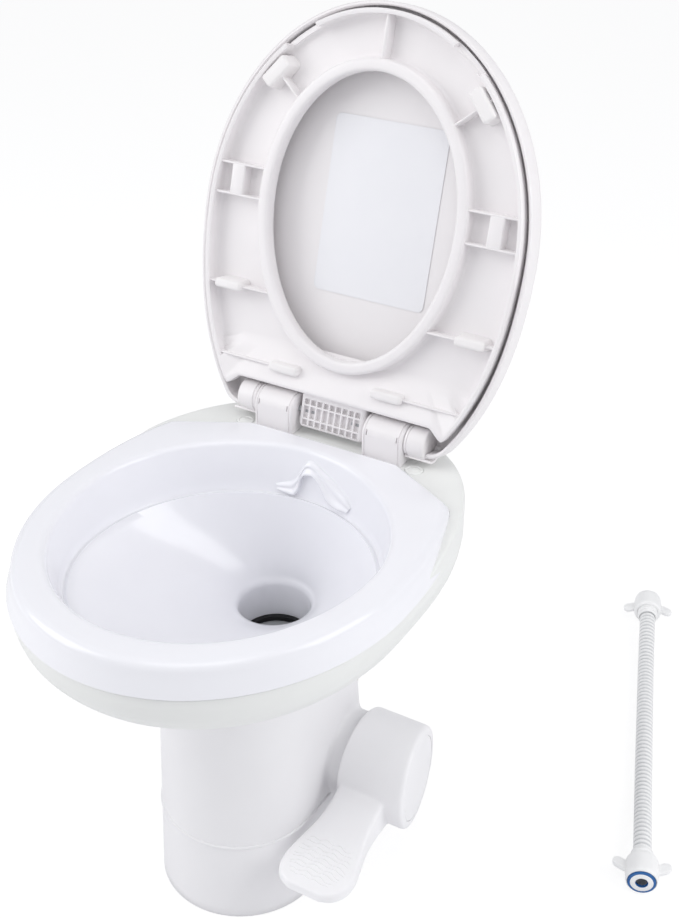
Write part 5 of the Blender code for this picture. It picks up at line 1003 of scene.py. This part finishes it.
def make_pedestal():
    """The pedestal's tube, and the boss on its side that flares into it and carries the pedal."""
    foot = SPLIT_Z - GAP
    outer = [pedestal_ring(foot), pedestal_ring(foot + 0.0004)]
    outer += [pedestal_ring(foot + (PEDESTAL_TOP_Z - foot) * k / 12) for k in range(1, 13)]
    inner = [pedestal_ring(PEDESTAL_TOP_Z, -PEDESTAL_WALL), pedestal_ring(foot, -PEDESTAL_WALL)]
    tube = loft([*outer, *inner], "closed")
    finished("pedestal_tube", tube, "pedestal_white", "toilet", "pedestal", crease=60)
    turns = [2 * math.pi * k / 96 for k in range(96)]
    sweep = []
    for radius, off, back in BOSS_SECTION:
        points = []
        for turn in turns:
            y, z = HUB.y + radius * math.cos(turn), HUB.z + radius * math.sin(turn)
            face = pedestal_side(y, max(z, 0.0))
            x = BOSS_OUT_X - back if off is None else min(face + off, BOSS_OUT_X - 0.0016)
            points.append((x, y, z))
        sweep.append(points)
    finished("pedal_boss", loft(sweep, "closed"), "pedestal_white", "toilet", crease=60)


def make_base():
    sleeve_z = SPLIT_Z + SLEEVE_TALL
    rings = [pedestal_ring(0.0, -0.0015), pedestal_ring(0.0015)]
    rings += [pedestal_ring(0.0015 + (SPLIT_Z - 0.0045) * k / 8) for k in range(1, 9)]
    rings += [pedestal_ring(SPLIT_Z + up, out) for out, up in SPLIT_BEAD]
    rings += [pedestal_ring(SPLIT_Z, -SLEEVE_IN), pedestal_ring(sleeve_z, -SLEEVE_IN)]
    rings += [pedestal_ring(sleeve_z, -0.0068), pedestal_ring(BASE_SKIN, -0.004)]
    rings += [throat_ring(OUTLET_ROOM_R, BASE_SKIN), throat_ring(OUTLET_ROOM_R, 0.0)]
    room = rod(BOSS_R + 0.0009, (0.058, HUB.y, HUB.z), (0.12, HUB.y, HUB.z), 96)
    shape = carve(loft(rings, "closed"), room)
    finished("base_ring", shape, "pedestal_white", "toilet", "base", crease=50)


# Hinge, seat and lid


def make_posts():
    foot = DECK_TOP_Z + GAP - HINGE_Z
    for side, name in SIDES:
        low, high = sorted((side * POST_IN_X, side * POST_OUT_X))
        ends = [(low + along, shrink) for along, shrink in POST_END]
        ends += [(high - along, shrink) for along, shrink in reversed(POST_END)]
        sections = []
        for x, shrink in ends:
            front, reach, rear = POST_FRONT - shrink, POST_R - shrink, POST_REAR - shrink
            outline = [(-front, up) for up in (foot, foot + 0.003, foot * 0.45, -0.003)]
            for k in range(1, 24):
                turn = math.pi * k / 24
                long = reach if turn > math.pi / 2 else front
                outline.append((-long * math.cos(turn), reach * math.sin(turn)))
            outline += [(reach, 0.0), (reach * 0.94, -0.006), (POST_REAR + 0.001, -0.0125)]
            outline += [(rear, -0.016), (rear, foot)]
            sections.append([(x, HINGE_Y + across, HINGE_Z + up) for across, up in outline])
        slots = []
        for x in (side * (POST_IN_X + POST_SLOT_IN), side * (POST_OUT_X - POST_SLOT_IN)):
            start = (x - POST_SLOT_HALF, HINGE_Y - 0.0185, HINGE_Z + 0.002)
            slots.append(block(start, (x + POST_SLOT_HALF, HINGE_Y - 0.0145, HINGE_Z + 0.0075)))
        post = carve(loft(sections), *slots)
        finished(f"hinge_block_{name}", post, "seat_white", "toilet", f"hinge_post_{name}", crease=45)


def closed_ring(plan, forward, outset, up, rear=None, tongue=None, slope=0.0):
    """A ring of the closed seat or lid, from its hinge: +Y is behind, where a straight rear edge cuts it.

    A tongue lets its corners reach further behind, and a slope draws the rear edge of this ring forward.
    """
    points = []
    for a in HINGED_ROUND:
        reach = egg(a, plan, outset)
        if rear is not None and math.sin(a) > 0.05:
            limit = (forward - rear + min(outset, 0.0) - slope) / math.sin(a)
            if tongue:
                across = abs(min(reach, limit) * math.cos(a)) + min(outset, 0.0) - slope * 0.3
                limit += tongue[1] * smoothstep(across, tongue[0], tongue[0] + 0.007) / math.sin(a)
            reach = least(reach, limit, tongue[2] if tongue else 0.011)
        points.append((reach * math.cos(a), -forward + reach * math.sin(a), up))
    return points


def under_seat(side, across, forward, turn=0.0):
    return OPENED @ Matrix.Translation((side * across, -forward, 0.0)) @ Matrix.Rotation(-side * turn, 4, "Z")


def rounded_plate(wide, long, corner, levels, matrix, steps=5):
    """A plate with rounded corners; each level gives its height, and an inset."""
    rings = []
    for z, inset in levels:
        points = []
        for quarter in range(4):
            across = (wide / 2 - corner) * (1 if quarter in (0, 3) else -1)
            up = (long / 2 - corner) * (1 if quarter in (0, 1) else -1)
            for k in range(steps + 1):
                turn = math.pi / 2 * (quarter + k / steps)
                reach = corner - inset
                points.append((across + reach * math.cos(turn), up + reach * math.sin(turn), z))
        rings.append(points)
    return loft(rings, matrix=matrix)


def rib(low, high, foot, top, thick, matrix, peak=0.0):
    """A thin stiffening rib along X, with a rounded edge and, where it has a peak, pointed ends."""
    sections = []
    steps = 14
    for k in range(steps + 1):
        share = k / steps
        swell = 1.0 if peak == 0 else 0.35 + 0.65 * math.sin(math.pi * (0.08 + 0.84 * share)) ** 0.8
        half, edge = thick / 2 * swell, foot + peak * (1 - math.sin(math.pi * share) ** 0.5)
        x = low + (high - low) * share
        sections.append([
            (x, -half, top), (x, -half, edge + half), (x, -half * 0.6, edge + half * 0.25), (x, 0.0, edge),
            (x, half * 0.6, edge + half * 0.25), (x, half, edge + half), (x, half, top),
        ])
    return loft(sections, matrix=matrix)


def make_seat():
    def outer(outset, up, slope=0.0):
        return closed_ring(SEAT, SEAT_FORWARD, outset, up, SEAT_REAR, SEAT_TONGUE, slope)

    def inner(outset, up):
        return closed_ring(HOLE, HOLE_FORWARD, outset, up)

    low, top, under = SEAT_FOOT, SEAT_TOP, SEAT_TOP - SEAT_SKIN
    wall, skirt = HOLE_WALL, -SEAT_WALL
    rings = [outer(-0.0010, low), outer(0.0, low + 0.0010)]
    rings += rounded(outer, (0.0, top - SEAT_EDGE), (0.0, top), (-SEAT_EDGE, top), 6)
    first, second = outer(-SEAT_EDGE, 0.0), inner(wall, 0.0)
    rings += [mixed(first, second, share, top + SEAT_CROWN) for share in (0.33, 0.66)]
    rings += rounded(inner, (wall, top), (0.0, top), (0.0, top - SEAT_EDGE), 6)
    rings += rounded(inner, (0.0, low + 0.0045), (0.0, low), (wall * 0.34, low))
    rings += rounded(inner, (wall * 0.66, low), (wall * 0.94, low), (wall, low + 0.0035), 4)
    rings += rounded(inner, (wall, under - 0.004), (wall, under), (wall + 0.004, under), 4)
    for out, z in rounding((skirt - 0.005, under), (skirt, under), (skirt, under - 0.005), 4):
        rings.append(outer(out, z, SEAT_SLOPE * (z - low) / (under - low)))
    rings += [outer(skirt, low + 0.0008, 0.0008), outer(skirt + 0.0016, low)]
    across, ahead = NOTCH_AT
    cutters = []
    for side, _ in SIDES:
        place = Matrix.Translation((side * across, ahead, 0.0)) @ Matrix.Rotation(side * NOTCH_TURN, 4, "Z")
        cutters.append(block((-NOTCH_HALF, -0.009, low - 0.002), (NOTCH_HALF, 0.0045, -0.004), place))
    shape = opened(carve(loft(rings, "closed"), *cutters))
    finished("seat_ring", shape, "seat_white", "seat", "seat", crease=45)
    make_seat_ribs(under)
    make_knuckle()


def make_seat_ribs(under):
    foot, top, thick = RIB_FOOT, under + 0.0003, RIB_THICK
    quarter = Matrix.Rotation(math.pi / 2, 4, "Z")
    ahead = Matrix.Translation((0.0, -0.3636, 0.0)) @ quarter
    parts = [rib(-0.0226, 0.0226, foot, top, 0.0056, OPENED @ ahead, 0.0012)]
    for side, _ in SIDES:
        low, high = sorted((side * (HOLE.half + HOLE_WALL / 2), side * RIB_OUT_X))
        for forward in (0.227, 0.197):
            parts.append(rib(low, high, foot, top, thick, OPENED @ Matrix.Translation((0.0, -forward, 0.0))))
        levels = ((top, 0.0), (foot + 0.0015, 0.0), (foot + 0.0003, 0.0006), (foot, 0.0014))
        parts.append(rounded_plate(0.0150, 0.030, 0.0018, levels, under_seat(side, 0.1395, 0.212)))
        for name, across, forward, _, _, turn, ends in BUMPERS:
            place = under_seat(side, across, forward, turn)
            if name == "front":
                parts.append(rib(*ends, foot, top, thick, place @ quarter))
            else:
                parts.append(rib(*sorted(side * end for end in ends), foot, top, thick, place))
    finished("seat_ribs", together(*parts), "seat_white", "seat", crease=50)
    low = BUMPER_FOOT
    levels = (
        (under - 0.0003, -0.0012), (under - 0.003, 0.0), (low + 0.0035, 0.0002), (low + 0.0014, 0.0007),
        (low + 0.0004, 0.0016), (low, 0.0030),
    )
    for name, across, forward, long, wide, turn, _ in BUMPERS:
        for side, hand in SIDES:
            pad = rounded_plate(long, wide, 0.0038, levels, under_seat(side, across, forward, turn), 6)
            node = f"seat_bumper_{name}_{hand}"
            finished(f"soft_pad_{name}_{hand}", pad, "pad_white", "seat", node, crease=50)


def make_knuckle():
    """The seat's hinge block between the posts: rounded, with a lattice of pockets moulded in its front."""
    half, deep, back = KNUCKLE_HALF, KNUCKLE_DEEP, KNUCKLE_BACK
    ends = [(-half + along, shrink) for along, shrink in KNUCKLE_END]
    ends += [(-x, shrink) for x, shrink in reversed(ends)]
    rings = []
    for x, shrink in ends:
        near, far = -SEAT_REAR - 0.003, back - shrink
        d = deep - shrink * 0.7
        outline = [(near, -d), (far - 0.005, -d), (far - 0.0022, -d + 0.0006), (far - 0.0006, -d + 0.0022)]
        outline += [(far, -d + 0.005), (far, d - 0.005), (far - 0.0006, d - 0.0022)]
        outline += [(far - 0.0022, d - 0.0006), (far - 0.005, d), (near, d)]
        rings.append([(x, y, z) for y, z in outline])
    wide = (2 * (half - LATTICE_MARGIN) - (LATTICE_COLUMNS - 1) * LATTICE_WALL) / LATTICE_COLUMNS
    tall = 2 * (back - LATTICE_EDGE) - 2 * LATTICE_WALL
    start = -back + LATTICE_EDGE
    pockets = []
    for row in LATTICE_ROWS:
        height = row * tall
        for k in range(LATTICE_COLUMNS):
            left = -half + LATTICE_MARGIN + k * (wide + LATTICE_WALL)
            low, high = (left, -start - height, -deep - 0.002), (left + wide, -start, -deep + LATTICE_DEEP)
            pockets.append(block(low, high))
        start += height + LATTICE_WALL
    shape = opened(carve(loft(rings), together(*pockets)))
    finished("lattice_knuckle", shape, "seat_white", "seat", crease=40)


def make_lid():
    def outline(outset, up):
        return closed_ring(LID, LID_FORWARD, outset, up, LID_REAR)

    inner, edge, wall = LID_INNER, LID_TOP - 0.0015, -LID_WALL
    rings = [outline(outset, inner) for outset in (-0.13, -0.07, -0.03)]
    rings += rounded(outline, (wall - 0.007, inner), (wall, inner), (wall, inner - 0.007))
    rings += [outline(wall, LID_FOOT + 0.0012), outline(wall + 0.0012, LID_FOOT)]
    rings += [outline(-0.0012, LID_FOOT), outline(0.0, LID_FOOT + 0.0012)]
    rings += rounded(outline, (0.0, inner - 0.006), (0.0, edge), (-0.008, edge), 7)
    rings.append(outline(-0.024, LID_TOP - 0.0003))
    rings += [outline(outset, LID_TOP) for outset in (-0.05, -0.09, -0.13)]
    reach = LID_KNUCKLE[1] + 0.0004
    room = block((-reach, -POST_FRONT - 0.002, LID_FOOT - 0.002), (reach, -LID_REAR + 0.002, LID_INNER))
    parts = [carve(loft(rings), room)]
    r, long = LID_KNUCKLE_R, LID_KNUCKLE[1] - LID_KNUCKLE[0]
    profile = [
        (AXIS_R, 0.0), (r - 0.0022, 0.0), (r - 0.0007, 0.0006), (r - 0.0004, 0.0026), (r - 0.0012, 0.0030),
        (r - 0.0012, 0.0036), (r, 0.0042), (r, long - 0.002), (r - 0.0006, long - 0.0006),
        (r - 0.002, long), (AXIS_R, long),
    ]
    turns = [math.radians(14 + 8 * k) for k in range(14)]
    lip_outer, lip_inner = LID_LIP_R
    lip_section = [(lip_outer, t) for t in turns] + [(lip_inner, t) for t in reversed(turns)]
    for side, _ in SIDES:
        near, far = side * LID_KNUCKLE[0], side * LID_KNUCKLE[1]
        parts.append(lathe(profile, (near, 0.0, 0.0), (side, 0, 0), 48))
        lip = []
        for x in (near + side * 0.0006, far + side * 0.006):
            lip.append([(x, radius * math.sin(t), radius * math.cos(t)) for radius, t in lip_section])
        parts.append(soften(loft(lip), 0.0005))
        low, high = sorted((near + side * 0.004, far - side * 0.0005))
        parts.append(soften(block((low, -r + 0.001, 0.0), (high, -LID_REAR, LID_INNER + GAP)), 0.001))
    finished("lid_panel", opened(together(*parts)), "seat_white", "lid", "lid", crease=45)


# Pedal


def slanted(shape):
    """Leans the drum's outer face, further out towards the front."""
    for vertex in shape.verts:
        lean = 1 - HUB_SLANT * (vertex.co.y - HUB.y) / (HUB_OUT_X - HUB_IN_X)
        vertex.co.x = HUB_IN_X + (vertex.co.x - HUB_IN_X) * lean
    return shape


def arm_stations():
    """The arm's sections, filled in along a smooth line."""
    keys = along_spline([station[:3] for station in ARM_STATIONS], 4)
    ends = along_spline([(ahead, top, foot) for ahead, _, _, top, foot in ARM_STATIONS], 4)
    return [(*key, end.y, end.z) for key, end in zip(keys, ends)]


def arm_section(ahead, middle, half, top, foot):
    """One section of the arm across X: crowned, with a rounded shoulder at each side."""
    shoulder = min(0.0052, (top - foot) / 2.5, half / 2.2)
    y = HUB.y - ahead
    right = [(half, foot + 0.003), (half, top - shoulder)]
    right += rounding((half, top - shoulder), (half, top), (half - shoulder, top))[1:]
    right.append((half * 0.45, top + 0.0004))
    left = [(-x, z) for x, z in reversed(right)]
    under = [(-half + 0.003, foot), (half - 0.003, foot)]
    return [(middle + x, y, z) for x, z in [*right, *left, *under]]


def make_pedal():
    """The drum with its arm, hollow behind and dished for the cap, then the cap and the tread's waves."""
    place, long = (HUB_IN_X, HUB.y, HUB.z), HUB_OUT_X - HUB_IN_X

    def turned(profile, sides=96):
        return slanted(lathe(profile, place, (1, 0, 0), sides))

    drum = turned([
        (AXIS_R, 0.0), (HUB_R - 0.0008, 0.0), (HUB_R, 0.0008),
        *rounding((HUB_R, long - HUB_ROUND), (HUB_R, long), (HUB_R - HUB_ROUND, long), 6), (AXIS_R, long),
    ])
    whole = carve(drum, loft([arm_section(*row) for row in arm_stations()]), operation="UNION")
    whole = shaped(whole, [
        ("REMESH", {"mode": "VOXEL", "voxel_size": 0.0012}),
        ("SMOOTH", {"factor": 0.5, "iterations": 7}),
        ("DECIMATE", {"ratio": 0.32}),
    ])
    floor = long - COVER_DEEP
    roof, wall_r, seat_r, mouth = floor - 0.0036, HUB_R - HUB_WALL, COVER_R + GAP, long + 0.012
    hollow = turned([
        (BOSS_R + GAP, -0.003), (BOSS_R + GAP, 0.003), (wall_r, 0.003), (wall_r, roof),
        (HUB_BOLT_BOSS_R, roof), (HUB_BOLT_BOSS_R, -0.003),
    ], 64)
    dish = turned([(AXIS_R, floor), (seat_r, floor), (seat_r, mouth), (AXIS_R, mouth)])
    bore = rod(HUB_BOLT_BORE_R, (HUB_IN_X - 0.01, HUB.y, HUB.z), (0.18, HUB.y, HUB.z))
    shape = carve(whole, hollow, dish, bore)
    finished("foot_pedal", shape, "pedal_white", "pedal", "pedal", crease=42)
    cover = turned([
        (AXIS_R, floor + GAP), (COVER_R, floor + GAP), (COVER_R, long - 0.0012),
        *rounding((COVER_R, long - 0.001), (COVER_R, long), (COVER_R - 0.0014, long), 4),
        (COVER_R * 0.9, long + 0.0002), (AXIS_R, long + 0.0002),
    ])
    notches = []
    for y, z in ((HUB.y - COVER_R, HUB.z - 0.006), (HUB.y + COVER_R, HUB.z + 0.004)):
        notches.append(rod(COVER_NOTCH_R, (0.14, y, z), (0.19, y, z), 24))
    finished("pedal_cap", carve(cover, *notches), "pedal_white", "pedal", "pedal_cover", crease=42)
    make_tread()


def arm_top(rows, ahead):
    """How high the arm's top is this far ahead of the hub."""
    for (near, _, _, first, _), (far, _, _, last, _) in zip(rows, rows[1:]):
        if near <= ahead <= far:
            return first + (last - first) * (ahead - near) / (far - near)
    return rows[-1][3]


def make_tread():
    """The shallow waves moulded in the tread, each a low ridge that wanders a little."""
    rows = arm_stations()
    ridges = []
    for n in range(TREAD_RIDGES):
        half_here = TREAD_HALF * (1 - 0.28 * ((n - 4.2) / 5) ** 2)
        sections = []
        for k in range(41):
            share = k / 40
            across = -half_here + 2 * half_here * share
            shift = 0.0011 * math.sin(2 * math.pi * (share * 3.2 + 0.13 * n)) - 0.004 * (across / 0.03) ** 2
            ahead = TREAD_FROM + TREAD_PITCH * n - shift * (0.6 if n % 2 else 1.0)
            x, y, z = TREAD_X + across, HUB.y - ahead, arm_top(rows, ahead) + 0.0003
            fade = math.sin(math.pi * share) ** 0.35
            wide, tall = 0.0012 * (0.3 + 0.7 * fade), 0.00075 * fade
            sections.append([
                (x, y - wide, z - 0.0010), (x, y - wide * 0.6, z + tall * 0.65), (x, y, z + tall),
                (x, y + wide * 0.6, z + tall * 0.65), (x, y + wide, z - 0.0010),
            ])
        ridges.append(loft(sections))
    finished("tread_waves", together(*ridges), "pedal_white", "pedal", crease=80)


# The whole toilet


def dress_cad_nodes():
    """The CAD nodes that stay get the finish of their slot."""
    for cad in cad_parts.values():
        for place in cad.material_slots:
            base = place.material.name.split(".")[0]
            if base in FINISHES:
                place.material = FINISHES[base]


set_camera()
make_hose()
make_bowl()
make_nozzle()
make_shell()
make_pedestal()
make_base()
make_posts()
make_seat()
make_lid()
make_pedal()
dress_cad_nodes()
lay_floor()
set_studio()
